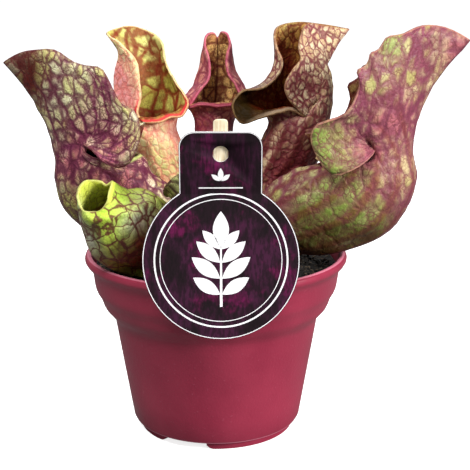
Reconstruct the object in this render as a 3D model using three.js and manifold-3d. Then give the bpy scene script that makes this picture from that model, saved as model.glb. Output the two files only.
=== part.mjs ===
// Potted pitcher plant: a nursery pot of dark peat with seven hooded pitchers and a label on a stick.
// Millimetres, +Z up. The origin is on the pot's axis, on the surface it stands on.
// Seen from the front, the camera side is -Y and +X is on the right.

import * as THREE from 'three';
import { mergeVertices } from 'three/addons/utils/BufferGeometryUtils.js';
import Module from 'manifold-3d';

const wasm = await Module();
wasm.setup();

// Driving dimensions
const GAP = 0.3;

const POT_HEIGHT = 83;
const POT_SIDES = 42;
const FOOT_RING_OUTER = 35.7;
const FOOT_RING_INNER = 32.4;
const FLOOR_UNDERSIDE = 3.2;
const FLOOR_TOP = 5;
const CENTRE_FOOT_RADIUS = 9;
const FOOT_GAPS = 3;
const FOOT_GAP_DEGREES = 31;
const FIRST_FOOT_GAP = 246;
const DRAIN_HOLES = 6;
const DRAIN_RADIUS = 3.5;
const DRAIN_CIRCLE = 21;

const SOIL_TOP = 78;
const SOIL_BOTTOM = FLOOR_TOP + GAP;
const SOIL_EDGE_DROP = 1.2;
const SOIL_FLAT_RADIUS = 48;
const SOIL_RIM_RADIUS = 55.3;
const SOIL_BASE_RADIUS = 35.4;

const FOOT_RADIUS = 3.5;
const FOOT_BOTTOM = 68;
const FOOT_TOP = 79;
const CROWN_RADIUS = 6.2;
const CROWN_TOP_RADIUS = 4.4;
const CROWN_RISE = 3;
const LEAF_THICKNESS = 1;

const LABEL_THICKNESS = 0.7;
const TAB_WIDTH = 34;
const TAB_HEIGHT = 26;
const TAB_CORNER = 6.5;
const DISC_RADIUS = 32.2;
const LABEL_HOLE_RADIUS = 3.3;
const LABEL_HOLE_DROP = 9.2;
const CREASE_HEIGHT = 120.5;
const CREASE_Y = -50.6;
const DISC_BEND = 15.5;
const TAB_LEAN = -4;
const CREASE_LAP = 0.8;
const LABEL_X = 2;

const STICK_WIDTH = 6;
const STICK_DEPTH = 2.5;
const STICK_TOP = 30.5;
const STICK_BOTTOM = -64;
const STICK_CORNER = 1.6;
const STICK_HOLE_LENGTH = 80;

const radians = (degrees) => degrees * Math.PI / 180;

function material(color, roughness) {
  return new THREE.MeshStandardMaterial({ color, roughness, metalness: 0 });
}

// A closed geometry becomes a solid that can be joined and cut.
function toSolid(geometry) {
  const bare = geometry.clone();
  bare.deleteAttribute('normal');
  bare.deleteAttribute('uv');
  const merged = mergeVertices(bare, 1e-4);
  return new wasm.Manifold(new wasm.Mesh({
    numProp: 3,
    vertProperties: new Float32Array(merged.attributes.position.array),
    triVerts: new Uint32Array(merged.index.array),
  }));
}

function toGeometry(solid) {
  const mesh = solid.getMesh();
  const geometry = new THREE.BufferGeometry();
  geometry.setAttribute('position', new THREE.BufferAttribute(new Float32Array(mesh.vertProperties), 3));
  geometry.setIndex(new THREE.BufferAttribute(new Uint32Array(mesh.triVerts), 1));
  return geometry;
}

// A lathe about +Z from a closed list of [radius, height] points.
function lathe(points, sides) {
  const geometry = new THREE.LatheGeometry(points.map(([r, z]) => new THREE.Vector2(r, z)), sides);
  geometry.rotateX(Math.PI / 2);
  return geometry;
}

function rod(radius, bottom, top, x, y, sides) {
  const geometry = new THREE.CylinderGeometry(radius, radius, top - bottom, sides);
  geometry.rotateX(Math.PI / 2);
  geometry.translate(x, y, (top + bottom) / 2);
  return geometry;
}

// Pot: the outer wall from the floor's edge up to the rim, as [radius, height].
const OUTER_WALL = [
  [36.5, 3.2],
  [39.1, 5.3],
  [46.9, 52.6],
  [49, 55.8],
  [51.8, 59.2],
  [52.8, 62],
  [55.2, 67],
  [55.8, 69.5],
  [56.6, 75.2],
  [57.8, 78.2],
  [59.6, 79.8],
  [60, 81],
  [59.4, 82.5],
  [58.2, POT_HEIGHT],
];
const INNER_WALL = [
  [57, POT_HEIGHT],
  [56.2, 81.5],
  [55.2, 75.4],
  [53.9, 67.9],
  [51.4, 62.7],
  [50.5, 60.2],
  [45.3, 53.3],
  [38, 7],
  [36, FLOOR_TOP],
];

function makePot() {
  const profile = [
    [0, 0],
    [CENTRE_FOOT_RADIUS, 0],
    [CENTRE_FOOT_RADIUS + 0.5, FLOOR_UNDERSIDE],
    [FOOT_RING_INNER, FLOOR_UNDERSIDE],
    [FOOT_RING_INNER + 0.2, 0],
    [FOOT_RING_OUTER, 0],
    ...OUTER_WALL,
    ...INNER_WALL,
    [0, FLOOR_TOP],
  ];
  let pot = toSolid(lathe(profile, POT_SIDES));
  const footRadius = (FOOT_RING_INNER + FOOT_RING_OUTER) / 2;
  const gapWidth = 2 * footRadius * Math.sin(radians(FOOT_GAP_DEGREES / 2));
  const gapLength = 2 * (FOOT_RING_OUTER - FOOT_RING_INNER);
  for (let i = 0; i < FOOT_GAPS; i += 1) {
    const gap = new THREE.BoxGeometry(gapLength, gapWidth, 2 * FLOOR_UNDERSIDE);
    gap.translate(footRadius, 0, 0);
    gap.rotateZ(radians(FIRST_FOOT_GAP + 360 * i / FOOT_GAPS));
    pot = pot.subtract(toSolid(gap));
  }
  for (let i = 0; i < DRAIN_HOLES; i += 1) {
    const turn = radians(FIRST_FOOT_GAP + 360 * i / DRAIN_HOLES);
    const x = DRAIN_CIRCLE * Math.cos(turn);
    const y = DRAIN_CIRCLE * Math.sin(turn);
    pot = pot.subtract(toSolid(rod(DRAIN_RADIUS, 0, 2 * FLOOR_TOP, x, y, 14)));
  }
  return toGeometry(pot);
}

// Soil: fills the pot, with a plain hole for each leaf, for the crown and for the stick.
function makeSoil(feet, stickHole) {
  const side = INNER_WALL
    .filter(([, z]) => z < SOIL_TOP && z > FLOOR_TOP)
    .map(([r, z]) => [r - GAP, z])
    .reverse();
  const profile = [
    [0, SOIL_BOTTOM],
    [SOIL_BASE_RADIUS, SOIL_BOTTOM],
    ...side,
    [SOIL_RIM_RADIUS, SOIL_TOP - SOIL_EDGE_DROP],
    [SOIL_FLAT_RADIUS, SOIL_TOP],
    [0, SOIL_TOP],
  ];
  let soil = toSolid(lathe(profile, POT_SIDES));
  for (const [x, y] of feet) {
    soil = soil.subtract(toSolid(rod(FOOT_RADIUS + GAP, FOOT_BOTTOM - GAP, SOIL_TOP + 1, x, y, 16)));
  }
  soil = soil.subtract(toSolid(rod(CROWN_RADIUS + GAP, FOOT_BOTTOM - GAP, SOIL_TOP + 1, 0, 0, 20)));
  soil = soil.subtract(toSolid(stickHole));
  return toGeometry(soil);
}

// Crown: the short rhizome between the leaf bases, with a rounded top.
function makeCrown() {
  return lathe([
    [0, FOOT_BOTTOM],
    [CROWN_TOP_RADIUS, FOOT_BOTTOM],
    [CROWN_RADIUS, FOOT_BOTTOM + 2],
    [CROWN_RADIUS, SOIL_TOP],
    [CROWN_TOP_RADIUS, SOIL_TOP + 0.75 * CROWN_RISE],
    [0, SOIL_TOP + CROWN_RISE],
  ], 20);
}

// Pitchers. A tube is a list of rings: the lowest point of the ring on the back of the leaf, the
// point opposite on its front, and half its width. Above the tube the surface passes through a
// crest and ends in a margin. Both are closed curves, given at angles round the mouth: 0 is the
// back, where the hood stands, and 180 the front, where the wing and the lip are.
const TUBE_STEPS = 1;
const HOOD_STEPS = 3;
const WING_ANGLE = 7;

const vector = ([x, y, z]) => new THREE.Vector3(x, y, z);

// The cubic through four neighbours, for a value between the middle two.
function cubic(before, start, end, after, spans, part) {
  const [first, middle, last] = spans;
  const slope = (a, b, c, left, right) => b.clone().sub(a).multiplyScalar(right / left)
    .add(c.clone().sub(b).multiplyScalar(left / right))
    .multiplyScalar(1 / (left + right));
  const chord = end.clone().sub(start).multiplyScalar(1 / middle);
  let leave = before ? slope(before, start, end, first, middle) : null;
  let arrive = after ? slope(start, end, after, middle, last) : null;
  if (!leave) leave = chord.clone().multiplyScalar(1.5).addScaledVector(arrive, -0.5);
  if (!arrive) arrive = chord.clone().multiplyScalar(1.5).addScaledVector(leave, -0.5);
  const s = part;
  return start.clone().multiplyScalar(2 * s ** 3 - 3 * s ** 2 + 1)
    .addScaledVector(leave, (s ** 3 - 2 * s ** 2 + s) * middle)
    .addScaledVector(end, -2 * s ** 3 + 3 * s ** 2)
    .addScaledVector(arrive, (s ** 3 - s ** 2) * middle);
}

// A point of a closed curve given as rows of [angle, point], at any angle.
function around(rows, angle) {
  const count = rows.length;
  let i = 0;
  while (i < count - 1 && rows[i + 1].angle <= angle) i += 1;
  const at = (k) => {
    const turns = Math.floor(k / count);
    const row = rows[k - turns * count];
    return { angle: row.angle + 360 * turns, point: row.point };
  };
  const near = [at(i - 1), at(i), at(i + 1), at(i + 2)];
  const spans = [1, 2, 3].map((k) => near[k].angle - near[k - 1].angle);
  return cubic(...near.map((row) => row.point), spans, (angle - near[1].angle) / spans[1]);
}

// The point of a ring at an angle: 0 at its back, 180 at its front.
function ringPoint(ring, angle) {
  const [back, front, half] = [vector(ring.back), vector(ring.front), ring.half];
  const centre = back.clone().add(front).multiplyScalar(0.5);
  const reach = back.clone().sub(front).multiplyScalar(0.5);
  const across = new THREE.Vector3(-reach.y, reach.x, 0).normalize();
  return centre.addScaledVector(reach, Math.cos(radians(angle)))
    .addScaledVector(across, half * Math.sin(radians(angle)));
}

// Angles of the columns round a leaf. Those of its back half, where the hood and the lobes are, can
// stand closer together than the others.
function columnAngles(columns, hoodColumns) {
  const half = columns / 2;
  const side = [];
  for (let i = 0; i < half; i += 1) {
    side.push(i < hoodColumns
      ? (90 * i) / hoodColumns
      : 90 + (90 * (i - hoodColumns)) / (half - hoodColumns));
  }
  return [...side, 180, ...side.slice(1).reverse().map((angle) => 360 - angle)];
}

// Mirrors the rows of one side of a hood to the other, across the leaf's own upright plane. The
// other side is a little narrower and hangs lower.
const FAR_SIDE_WIDTH = 0.42;
const FAR_SIDE_DROP = 0.42;

function mirrorRows(rows, foot, facing) {
  const across = [-Math.sin(radians(facing)), Math.cos(radians(facing))];
  const flip = ([x, y, z]) => {
    const off = (x - foot[0]) * across[0] + (y - foot[1]) * across[1];
    const move = (1 + FAR_SIDE_WIDTH) * off;
    const drop = z > 140 ? FAR_SIDE_DROP * Math.abs(off) : 0;
    return [x - move * across[0], y - move * across[1], z - drop];
  };
  const others = rows.filter(([angle]) => Math.abs(angle) > 0 && Math.abs(angle) < 180)
    .map(([angle, crest, margin]) => [-angle, flip(crest), flip(margin)]);
  return [...rows, ...others];
}

// One pitcher: outer skin, margin, and inner skin down to the floor of its hollow.
function makePitcher(leaf) {
  const rows = (leaf.facing === undefined ? leaf.rows : mirrorRows(leaf.rows, leaf.plane, leaf.facing))
    .map(([angle, crest, margin]) => [(angle + 360) % 360, crest, margin])
    .sort((a, b) => a[0] - b[0]);
  const crest = rows.map(([angle, point]) => ({ angle, point: vector(point) }));
  const margin = rows.map(([angle, , point]) => ({ angle, point: vector(point) }));
  const [footX, footY] = leaf.foot;
  const [outX, outY] = leaf.out;
  const upright = (z) => ({
    back: [footX + FOOT_RADIUS * outX, footY + FOOT_RADIUS * outY, z],
    front: [footX - FOOT_RADIUS * outX, footY - FOOT_RADIUS * outY, z],
    half: FOOT_RADIUS,
  });
  const tube = leaf.rings.map(([back, front, half]) => ({ back, front, half }));
  const rings = [upright(FOOT_BOTTOM), upright(FOOT_TOP), ...tube];
  const angles = columnAngles(leaf.columns, leaf.hoodColumns ?? leaf.columns / 4);

  const columns = angles.map((angle) => {
    const keys = [
      ...rings.map((ring) => ringPoint(ring, angle)),
      around(crest, angle),
      around(margin, angle),
    ];
    const points = [keys[0]];
    for (let k = 0; k < keys.length - 1; k += 1) {
      const steps = k < rings.length - 1 ? TUBE_STEPS : HOOD_STEPS;
      const span = (a, b) => (keys[a] && keys[b] ? keys[a].distanceTo(keys[b]) : 1);
      const spans = [span(k - 1, k), span(k, k + 1), span(k + 1, k + 2)];
      for (let s = 1; s <= steps; s += 1) {
        const straight = k === 0;
        points.push(straight
          ? keys[0].clone().lerp(keys[1], s / steps)
          : cubic(keys[k - 1], keys[k], keys[k + 1], keys[k + 2], spans, s / steps));
      }
    }
    return points;
  });

  const count = columns.length;
  const levels = columns[0].length;
  const at = (i, j) => columns[(i + count) % count][Math.min(Math.max(j, 0), levels - 1)];
  const normal = (i, j) => {
    const round = at(i + 1, j).clone().sub(at(i - 1, j));
    const along = at(i, j + 1).clone().sub(at(i, j - 1));
    return round.cross(along).normalize();
  };
  const wing = (i, j) => {
    const turned = Math.abs(angles[i] - (leaf.wingAt ?? 180));
    const off = Math.min(turned, 360 - turned) / WING_ANGLE;
    const part = (j - 2) / (rings.length - 2);
    const height = part > 0 && part < 1 ? leaf.wing * Math.sin(Math.PI * part) : 0;
    return height * Math.exp(-off * off);
  };

  const positions = [];
  const push = (point) => {
    positions.push(point.x, point.y, point.z);
    return positions.length / 3 - 1;
  };
  const outer = columns.map((points, i) => points.map((point, j) => (
    push(point.clone().addScaledVector(normal(i, j), wing(i, j))))));
  const first = leaf.hollowFrom;
  const inner = columns.map((points, i) => points.slice(first).map((point, j) => (
    push(point.clone().addScaledVector(normal(i, j + first), -LEAF_THICKNESS)))));
  const middle = (j) => columns.reduce((sum, points) => sum.add(points[j]), new THREE.Vector3())
    .multiplyScalar(1 / count);
  const bottom = push(middle(0));
  const hollow = push(middle(first).lerp(middle(first + 1), 0.1));

  const triangles = [];
  for (let i = 0; i < count; i += 1) {
    const next = (i + 1) % count;
    for (let j = 0; j < levels - 1; j += 1) {
      triangles.push(outer[i][j], outer[next][j], outer[next][j + 1]);
      triangles.push(outer[i][j], outer[next][j + 1], outer[i][j + 1]);
    }
    for (let j = 0; j < levels - 1 - first; j += 1) {
      triangles.push(inner[i][j], inner[next][j + 1], inner[next][j]);
      triangles.push(inner[i][j], inner[i][j + 1], inner[next][j + 1]);
    }
    const top = levels - 1;
    const edge = inner[i].length - 1;
    triangles.push(outer[i][top], outer[next][top], inner[next][edge]);
    triangles.push(outer[i][top], inner[next][edge], inner[i][edge]);
    triangles.push(bottom, outer[next][0], outer[i][0]);
    triangles.push(hollow, inner[i][0], inner[next][0]);
  }
  const geometry = new THREE.BufferGeometry();
  geometry.setAttribute('position', new THREE.BufferAttribute(new Float32Array(positions), 3));
  geometry.setIndex(triangles);
  return geometry;
}

const HOODED_COLUMNS = 34;
const SIDE_COLUMNS = 28;
const SMALL_COLUMNS = 24;

const PITCHERS = [
  {
    name: 'pitcher_left',
    color: 0x9a9a5c,
    foot: [-11.4, -0.8],
    out: [-1, 0],
    plane: [-11.4, 1],
    facing: 180,
    wing: 2,
    columns: HOODED_COLUMNS,
    hoodColumns: 13,
    hollowFrom: 4,
    rings: [
      [[-24, 0.5, 81], [-12, 0, 87], 4.5],
      [[-37, 2, 82], [-14, 1.5, 97], 8.5],
      [[-50, 3, 86], [-18, 2, 105.5], 12.5],
      [[-61.5, 3, 93.5], [-22, 2, 112], 15],
      [[-69.5, 2, 103], [-26, 1, 115.5], 16.5],
      [[-72.5, 1, 114.5], [-28.5, 0.5, 118], 17],
      [[-72.5, 0, 127], [-30, 0, 121], 16.5],
    ],
    rows: [
      [0, [-79, 0, 148], [-93.5, 0, 168.5]],
      [8, [-77, -5, 150], [-86, -5, 173]],
      [15, [-74, -9.5, 152], [-78.5, -10, 175]],
      [21, [-69.5, -13.5, 153], [-68.5, -15, 175.5]],
      [26, [-65, -16, 153], [-61, -18, 171]],
      [31, [-60.5, -18, 152.5], [-55.5, -20, 169.5]],
      [36, [-56.5, -19.5, 151.5], [-48.5, -23, 168.5]],
      [41, [-53, -20.5, 150.5], [-44.5, -24.5, 162]],
      [46, [-51, -20.5, 148.5], [-41, -25, 154.5]],
      [52, [-50, -20, 145.5], [-34, -25.5, 149.5]],
      [58, [-50, -19, 142.5], [-32.5, -26, 140]],
      [64, [-51.5, -18, 140], [-36, -26.5, 130]],
      [70, [-53.5, -17, 137.5], [-42, -26, 126.5]],
      [75, [-55.5, -15.5, 136], [-48.5, -24, 129]],
      [80, [-58, -14.5, 135], [-53, -20, 134]],
      [84, [-59.5, -14, 133.5], [-58.5, -15.5, 135]],
      [90, [-58, -16, 130], [-56.5, -16.5, 131]],
      [98, [-54, -17, 127.5], [-52.5, -17.5, 129]],
      [110, [-47.5, -16.5, 126.5], [-45.5, -17, 127.5]],
      [128, [-39.5, -12, 124.5], [-40.5, -13, 127]],
      [150, [-33.5, -6, 124], [-36.5, -7, 127.5]],
      [180, [-31, 0, 125], [-34.5, -0.5, 128]],
    ],
  },
  {
    name: 'pitcher_back_left',
    color: 0xb7b06c,
    foot: [-8.5, 7.6],
    out: [-0.45, 0.893],
    wing: 2.5,
    columns: SIDE_COLUMNS,
    hollowFrom: 4,
    rings: [
      [[-12.5, 16.5, 84], [-9, 9.5, 89], 4.2],
      [[-18.5, 25, 92], [-12.5, 14, 102], 6.2],
      [[-24.5, 31.5, 104], [-17, 16.5, 114], 9.2],
      [[-30, 36, 117], [-21, 18.5, 127], 11],
      [[-33.5, 38.5, 130], [-25, 20.5, 137.5], 11.3],
    ],
    rows: [
      [0, [-28, 42, 162], [-36, 44, 180.5]],
      [20, [-33, 42, 163], [-44.5, 41, 181]],
      [38, [-40, 39, 164], [-51.5, 37, 178]],
      [55, [-46.5, 35, 164], [-44, 30, 174]],
      [72, [-47.5, 33, 157], [-37, 26, 166.5]],
      [90, [-47, 31, 151], [-35.5, 23, 158]],
      [108, [-45.5, 29, 146], [-35, 22, 150]],
      [125, [-42, 26, 142], [-36.5, 20, 143.5]],
      [145, [-36.5, 21.5, 140.5], [-34.5, 19.5, 139.5]],
      [165, [-31, 19, 140.5], [-29.5, 16.8, 138.8]],
      [180, [-26.5, 19, 141], [-25, 16.6, 139.3]],
      [-165, [-22.5, 20, 142], [-21, 17.8, 141]],
      [-145, [-18, 24, 142.5], [-15.5, 22, 141]],
      [-125, [-14.8, 28, 146], [-12.3, 25, 146.5]],
      [-105, [-17, 33, 151], [-14.8, 30, 151.5]],
      [-85, [-20, 36, 155], [-19, 33, 157.5]],
      [-62, [-22.5, 39, 160], [-23.5, 35.5, 166.5]],
      [-38, [-24, 41, 162], [-24.3, 38, 173.5]],
      [-18, [-26, 42, 162], [-28, 41.5, 177.5]],
    ],
  },
  {
    name: 'pitcher_back',
    color: 0x8d5460,
    foot: [0, 11.5],
    out: [0, 1],
    wing: 1.5,
    columns: SMALL_COLUMNS,
    hollowFrom: 4,
    rings: [
      [[-0.5, 19, 84], [-0.5, 11, 88], 4],
      [[-1, 28, 93], [-1, 15, 100], 5.2],
      [[-1.2, 35.5, 106], [-1.2, 18.5, 112], 7],
      [[-1.2, 40.5, 120], [-1.2, 21, 125], 8.6],
      [[-1, 43, 133], [-0.5, 23.5, 137], 9.2],
    ],
    rows: [
      [0, [1, 44.5, 163], [1, 43.5, 176]],
      [10, [-2.5, 44.5, 163], [-0.8, 42.5, 178.4]],
      [21, [-6, 44, 163], [-4, 40.5, 178]],
      [33, [-7.5, 42.5, 163.5], [-5.5, 38.5, 174]],
      [48, [-8, 40.5, 161], [-3.6, 35.5, 168]],
      [62, [-8.6, 39, 158.5], [-2.8, 34, 162]],
      [78, [-9.8, 37.5, 155.5], [-3.4, 32, 157.5]],
      [95, [-12.4, 35, 152], [-7.2, 29, 152.5]],
      [115, [-14.6, 31, 149], [-10, 26.5, 148.5]],
      [137, [-13.5, 28, 145], [-12.4, 25.5, 144.5]],
      [160, [-6.5, 23.8, 146.8], [-5.8, 21.6, 146.4]],
      [180, [1, 22.3, 146.8], [1, 20, 145.8]],
      [-160, [7.4, 23.8, 146.8], [7.2, 21.6, 146]],
      [-137, [14, 28, 146.5], [13.6, 25.5, 147.5]],
      [-115, [15, 31.5, 150.5], [11.4, 27, 151.5]],
      [-95, [13.6, 35, 154.5], [9.5, 29.5, 155.5]],
      [-78, [11.4, 37.5, 157.5], [6.4, 32, 159.5]],
      [-62, [10, 39, 160.5], [5.4, 34, 163.5]],
      [-48, [9.4, 40.5, 162.5], [5.8, 35.5, 169]],
      [-33, [9, 42.5, 164.5], [7.4, 38.5, 174.5]],
      [-21, [7.6, 44, 163.5], [6, 40.5, 178.4]],
      [-10, [4.4, 44.5, 163], [2.8, 42.5, 178.8]],
    ],
  },
  {
    name: 'pitcher_back_right',
    color: 0x8a5a5e,
    foot: [8.5, 7.6],
    out: [0.82, 0.572],
    wing: 2.5,
    columns: SIDE_COLUMNS,
    hollowFrom: 4,
    rings: [
      [[16, 14, 84], [9, 9.1, 88.9], 4.2],
      [[26, 21.1, 92.8], [13, 12.4, 102.6], 6.5],
      [[36, 26.5, 103.6], [18, 12, 116.6], 10],
      [[44.5, 28, 117.6], [23, 10.5, 129.6], 13],
      [[49, 27.5, 132.6], [27.5, 9, 140.6], 13.5],
    ],
    rows: [
      [0, [50, 27.5, 159.6], [62.5, 30.5, 180.6]],
      [18, [46, 30.5, 161.6], [52, 31.5, 182.6]],
      [34, [41, 31.5, 162.6], [40, 30.5, 184.1]],
      [48, [35, 30.5, 163.6], [31, 28, 183.1]],
      [60, [30, 27.5, 164.6], [26.8, 23.5, 180.6]],
      [72, [27, 23.5, 164.1], [27.3, 18.5, 173.6]],
      [84, [25, 20.5, 161.6], [30, 14.5, 168.1]],
      [96, [22.5, 18.5, 158.6], [29, 12.5, 162.6]],
      [110, [17.5, 16.5, 155.6], [22, 10.5, 156.6]],
      [124, [12, 15, 153.1], [11.5, 9.5, 155.1]],
      [136, [10.5, 12, 148.6], [7, 9, 148.1]],
      [148, [15, 9.5, 145.1], [11.5, 8, 139.9]],
      [160, [21, 8, 145.1], [19.5, 6.5, 142.1]],
      [180, [30, 6.5, 146.9], [29.5, 4, 145.4]],
      [-160, [37, 8, 146.6], [36.5, 5.5, 145.1]],
      [-148, [42.5, 10, 146.6], [43.5, 7, 140.6]],
      [-136, [46.5, 10.5, 150.1], [38.5, 5, 145.6]],
      [-122, [48.5, 12, 153.6], [33, 4, 151.6]],
      [-106, [50, 13.5, 157.6], [31.2, 4, 158.1]],
      [-88, [50.5, 15.5, 160.6], [35, 6.5, 164.6]],
      [-70, [50.5, 17.5, 163.6], [38.7, 10, 169.1]],
      [-52, [51, 19.5, 165.6], [38, 15.5, 175.1]],
      [-36, [52, 21.5, 164.6], [41.5, 21, 183.6]],
      [-18, [52, 24.5, 162.6], [51, 26, 182.6]],
    ],
  },
  {
    name: 'pitcher_right',
    color: 0x98705c,
    foot: [11.5, -0.4],
    out: [1, 0],
    plane: [11.5, -5],
    facing: 0,
    wing: 3,
    columns: HOODED_COLUMNS,
    hoodColumns: 13,
    hollowFrom: 4,
    rings: [
      [[24, -1.5, 80.5], [12.5, 0, 87.5], 4.5],
      [[36.5, -3.5, 82], [15, -0.5, 96.5], 8.5],
      [[50, -5.5, 82], [21, -1.5, 105], 12.5],
      [[63.5, -6, 85.5], [27, -3, 113], 16],
      [[77, -6, 92], [33, -4, 117.5], 18.5],
      [[86.5, -6, 105], [38, -4.5, 121], 19],
      [[90, -6, 118], [43, -5, 122.5], 18],
      [[88, -6, 130], [48, -5, 124], 16.5],
    ],
    rows: [
      [0, [92, -5, 149.5], [111.5, -5, 178.5]],
      [-8, [89, -11, 153], [99.5, -9, 184.5]],
      [-15, [85, -16, 155.5], [88, -15, 185.5]],
      [-21, [80.5, -20, 157.5], [79.5, -20, 182.5]],
      [-26, [77.5, -22.5, 158], [72.5, -23, 181.5]],
      [-31, [74.5, -24, 157], [69, -24, 176.5]],
      [-36, [72.5, -25, 156], [65, -26.5, 175]],
      [-41, [70, -25.5, 154.5], [63.5, -26, 170]],
      [-46, [68, -26, 153], [59.5, -28.5, 168]],
      [-52, [66, -26, 150.5], [60.5, -28, 160]],
      [-58, [64.5, -25.5, 148.5], [54, -29.5, 149]],
      [-64, [63.5, -25, 146], [42.5, -28.5, 144.5]],
      [-70, [63, -24, 143], [41, -28.5, 136]],
      [-76, [63.5, -22.5, 140], [50, -29, 123.5]],
      [-81, [65.5, -20, 137.5], [60.5, -28, 126.5]],
      [-86, [67.5, -17.5, 135.5], [68, -23, 131.5]],
      [-90, [69.5, -16, 133.5], [70, -17.5, 134]],
      [-97, [69.5, -18, 130], [68, -18.5, 131]],
      [-108, [65.5, -19.5, 127], [63, -20, 128]],
      [-124, [57.5, -17, 124.5], [55, -18, 125.5]],
      [-147, [50.5, -11, 123.5], [48.5, -12, 125]],
      [180, [46.5, -5, 125], [44.5, -5, 126.5]],
    ],
  },
  {
    name: 'pitcher_front_left',
    color: 0x8fa04a,
    foot: [-7.4, -8.8],
    out: [-0.78, -0.626],
    wing: 3.5,
    wingAt: 0,
    columns: SIDE_COLUMNS,
    hollowFrom: 4,
    rings: [
      [[-17, -16.5, 81], [-9, -10.5, 88], 4.5],
      [[-30, -27, 81], [-12, -13.5, 97], 7.5],
      [[-41.5, -34.5, 85.5], [-17, -18.5, 105], 11.5],
      [[-51.5, -39.5, 93], [-23, -23, 111.5], 14],
      [[-55.5, -43, 103.5], [-28.5, -26, 116.5], 13.5],
    ],
    rows: [
      [0, [-57, -45, 112], [-57.5, -44, 115.5]],
      [30, [-54.5, -50, 110.5], [-55, -48.5, 113.5]],
      [60, [-50, -52, 110.5], [-51.5, -49.5, 113]],
      [90, [-45, -50, 111.5], [-48, -47.5, 113]],
      [118, [-40, -45, 113.5], [-45.5, -44, 115.5]],
      [145, [-37.5, -39, 115.5], [-44.5, -41, 119.5]],
      [165, [-36.5, -33, 117.5], [-43.5, -38, 122]],
      [180, [-37.5, -30, 118], [-43.5, -36, 123]],
      [-160, [-40.5, -28, 118], [-46, -33, 121]],
      [-130, [-45.5, -27, 117], [-48.5, -31, 122]],
      [-100, [-50.5, -28, 116.5], [-52, -31, 122.5]],
      [-70, [-54.5, -32, 116.5], [-55.5, -33, 122.5]],
      [-45, [-57, -37, 116], [-57.5, -37, 121]],
      [-20, [-57.5, -42, 114], [-58.5, -41, 118]],
    ],
  },
  {
    name: 'pitcher_centre',
    color: 0x87934f,
    foot: [1, -11.5],
    out: [-0.1, -0.995],
    wing: 1.5,
    columns: SMALL_COLUMNS,
    hollowFrom: 3,
    rings: [
      [[0, -21.5, 82], [0.5, -12.5, 89], 4.5],
      [[-3, -29, 86], [-2, -14.5, 99], 7],
      [[-5.5, -35, 93], [-4.5, -17, 107], 9],
      [[-7, -38, 103], [-6.5, -21, 112], 9.2],
    ],
    rows: [
      [0, [-8.5, -39.5, 114], [-9.5, -41, 126]],
      [30, [-3, -39, 114], [-2, -41, 127]],
      [60, [2, -36, 114.5], [4, -38, 123]],
      [90, [4.5, -31, 114.5], [7, -32, 118]],
      [120, [3.5, -25.5, 113.5], [5.5, -25, 113]],
      [150, [-1, -20.5, 114], [-0.5, -18, 113]],
      [180, [-7, -19, 115], [-7, -16.5, 114]],
      [-150, [-13, -21, 114.5], [-14, -18.5, 113.5]],
      [-120, [-18, -26, 114], [-20.5, -25.5, 113.5]],
      [-90, [-19.5, -31.5, 114.5], [-22.5, -32.5, 117]],
      [-60, [-17.5, -36, 114.5], [-20.5, -37.5, 122]],
      [-30, [-13.5, -39, 114], [-15.5, -41, 126.5]],
    ],
  },
];

// Label and stick: drawn flat in a frame that leans back a little, with its origin at the crease.
function labelFrame() {
  const frame = new THREE.Group();
  frame.position.set(LABEL_X, CREASE_Y, CREASE_HEIGHT);
  frame.rotation.set(-radians(TAB_LEAN), 0, 0);
  return frame;
}

// A flat shape in X (across) and Z (up), extruded towards -Y.
function sheet(shape, thickness) {
  const geometry = new THREE.ExtrudeGeometry(shape, {
    depth: thickness,
    bevelEnabled: false,
    curveSegments: 7,
  });
  geometry.rotateX(Math.PI / 2);
  return geometry;
}

function makeLabel() {
  const half = TAB_WIDTH / 2;
  const tab = new THREE.Shape();
  tab.moveTo(-half, -CREASE_LAP);
  tab.lineTo(half, -CREASE_LAP);
  tab.lineTo(half, TAB_HEIGHT - TAB_CORNER);
  tab.absarc(half - TAB_CORNER, TAB_HEIGHT - TAB_CORNER, TAB_CORNER, 0, Math.PI / 2);
  tab.absarc(-half + TAB_CORNER, TAB_HEIGHT - TAB_CORNER, TAB_CORNER, Math.PI / 2, Math.PI);
  const hole = new THREE.Path();
  hole.absarc(0, TAB_HEIGHT - LABEL_HOLE_DROP, LABEL_HOLE_RADIUS, 0, 2 * Math.PI, true);
  tab.holes.push(hole);
  const tabSolid = toSolid(sheet(tab, LABEL_THICKNESS));

  // The disc reaches up to the crease, where a chord as wide as the tab ends it.
  const reach = Math.sqrt(DISC_RADIUS ** 2 - half ** 2);
  const open = Math.atan2(reach, half);
  const disc = new THREE.Shape();
  disc.absarc(0, -reach, DISC_RADIUS, open, Math.PI - open, true);
  const discSheet = new THREE.ExtrudeGeometry(disc, {
    depth: LABEL_THICKNESS,
    bevelEnabled: false,
    curveSegments: 44,
  });
  discSheet.rotateX(Math.PI / 2);
  discSheet.rotateX(-radians(DISC_BEND - TAB_LEAN));
  return toGeometry(tabSolid.add(toSolid(discSheet)));
}

function stickShape(width, top, bottom, corner) {
  const half = width / 2;
  const shape = new THREE.Shape();
  shape.moveTo(-half, bottom);
  shape.lineTo(half, bottom);
  shape.lineTo(half, top - corner);
  shape.absarc(half - corner, top - corner, corner, 0, Math.PI / 2);
  shape.absarc(-half + corner, top - corner, corner, Math.PI / 2, Math.PI);
  return shape;
}

const plant = new THREE.Group();

function add(name, geometry, look, parent = plant) {
  const mesh = new THREE.Mesh(geometry, look);
  mesh.name = name;
  parent.add(mesh);
  return mesh;
}

const labelHolder = labelFrame();
plant.add(labelHolder);

const stickGeometry = sheet(stickShape(STICK_WIDTH, STICK_TOP, STICK_BOTTOM, STICK_CORNER), STICK_DEPTH);
stickGeometry.translate(0, STICK_DEPTH + GAP, 0);

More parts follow.
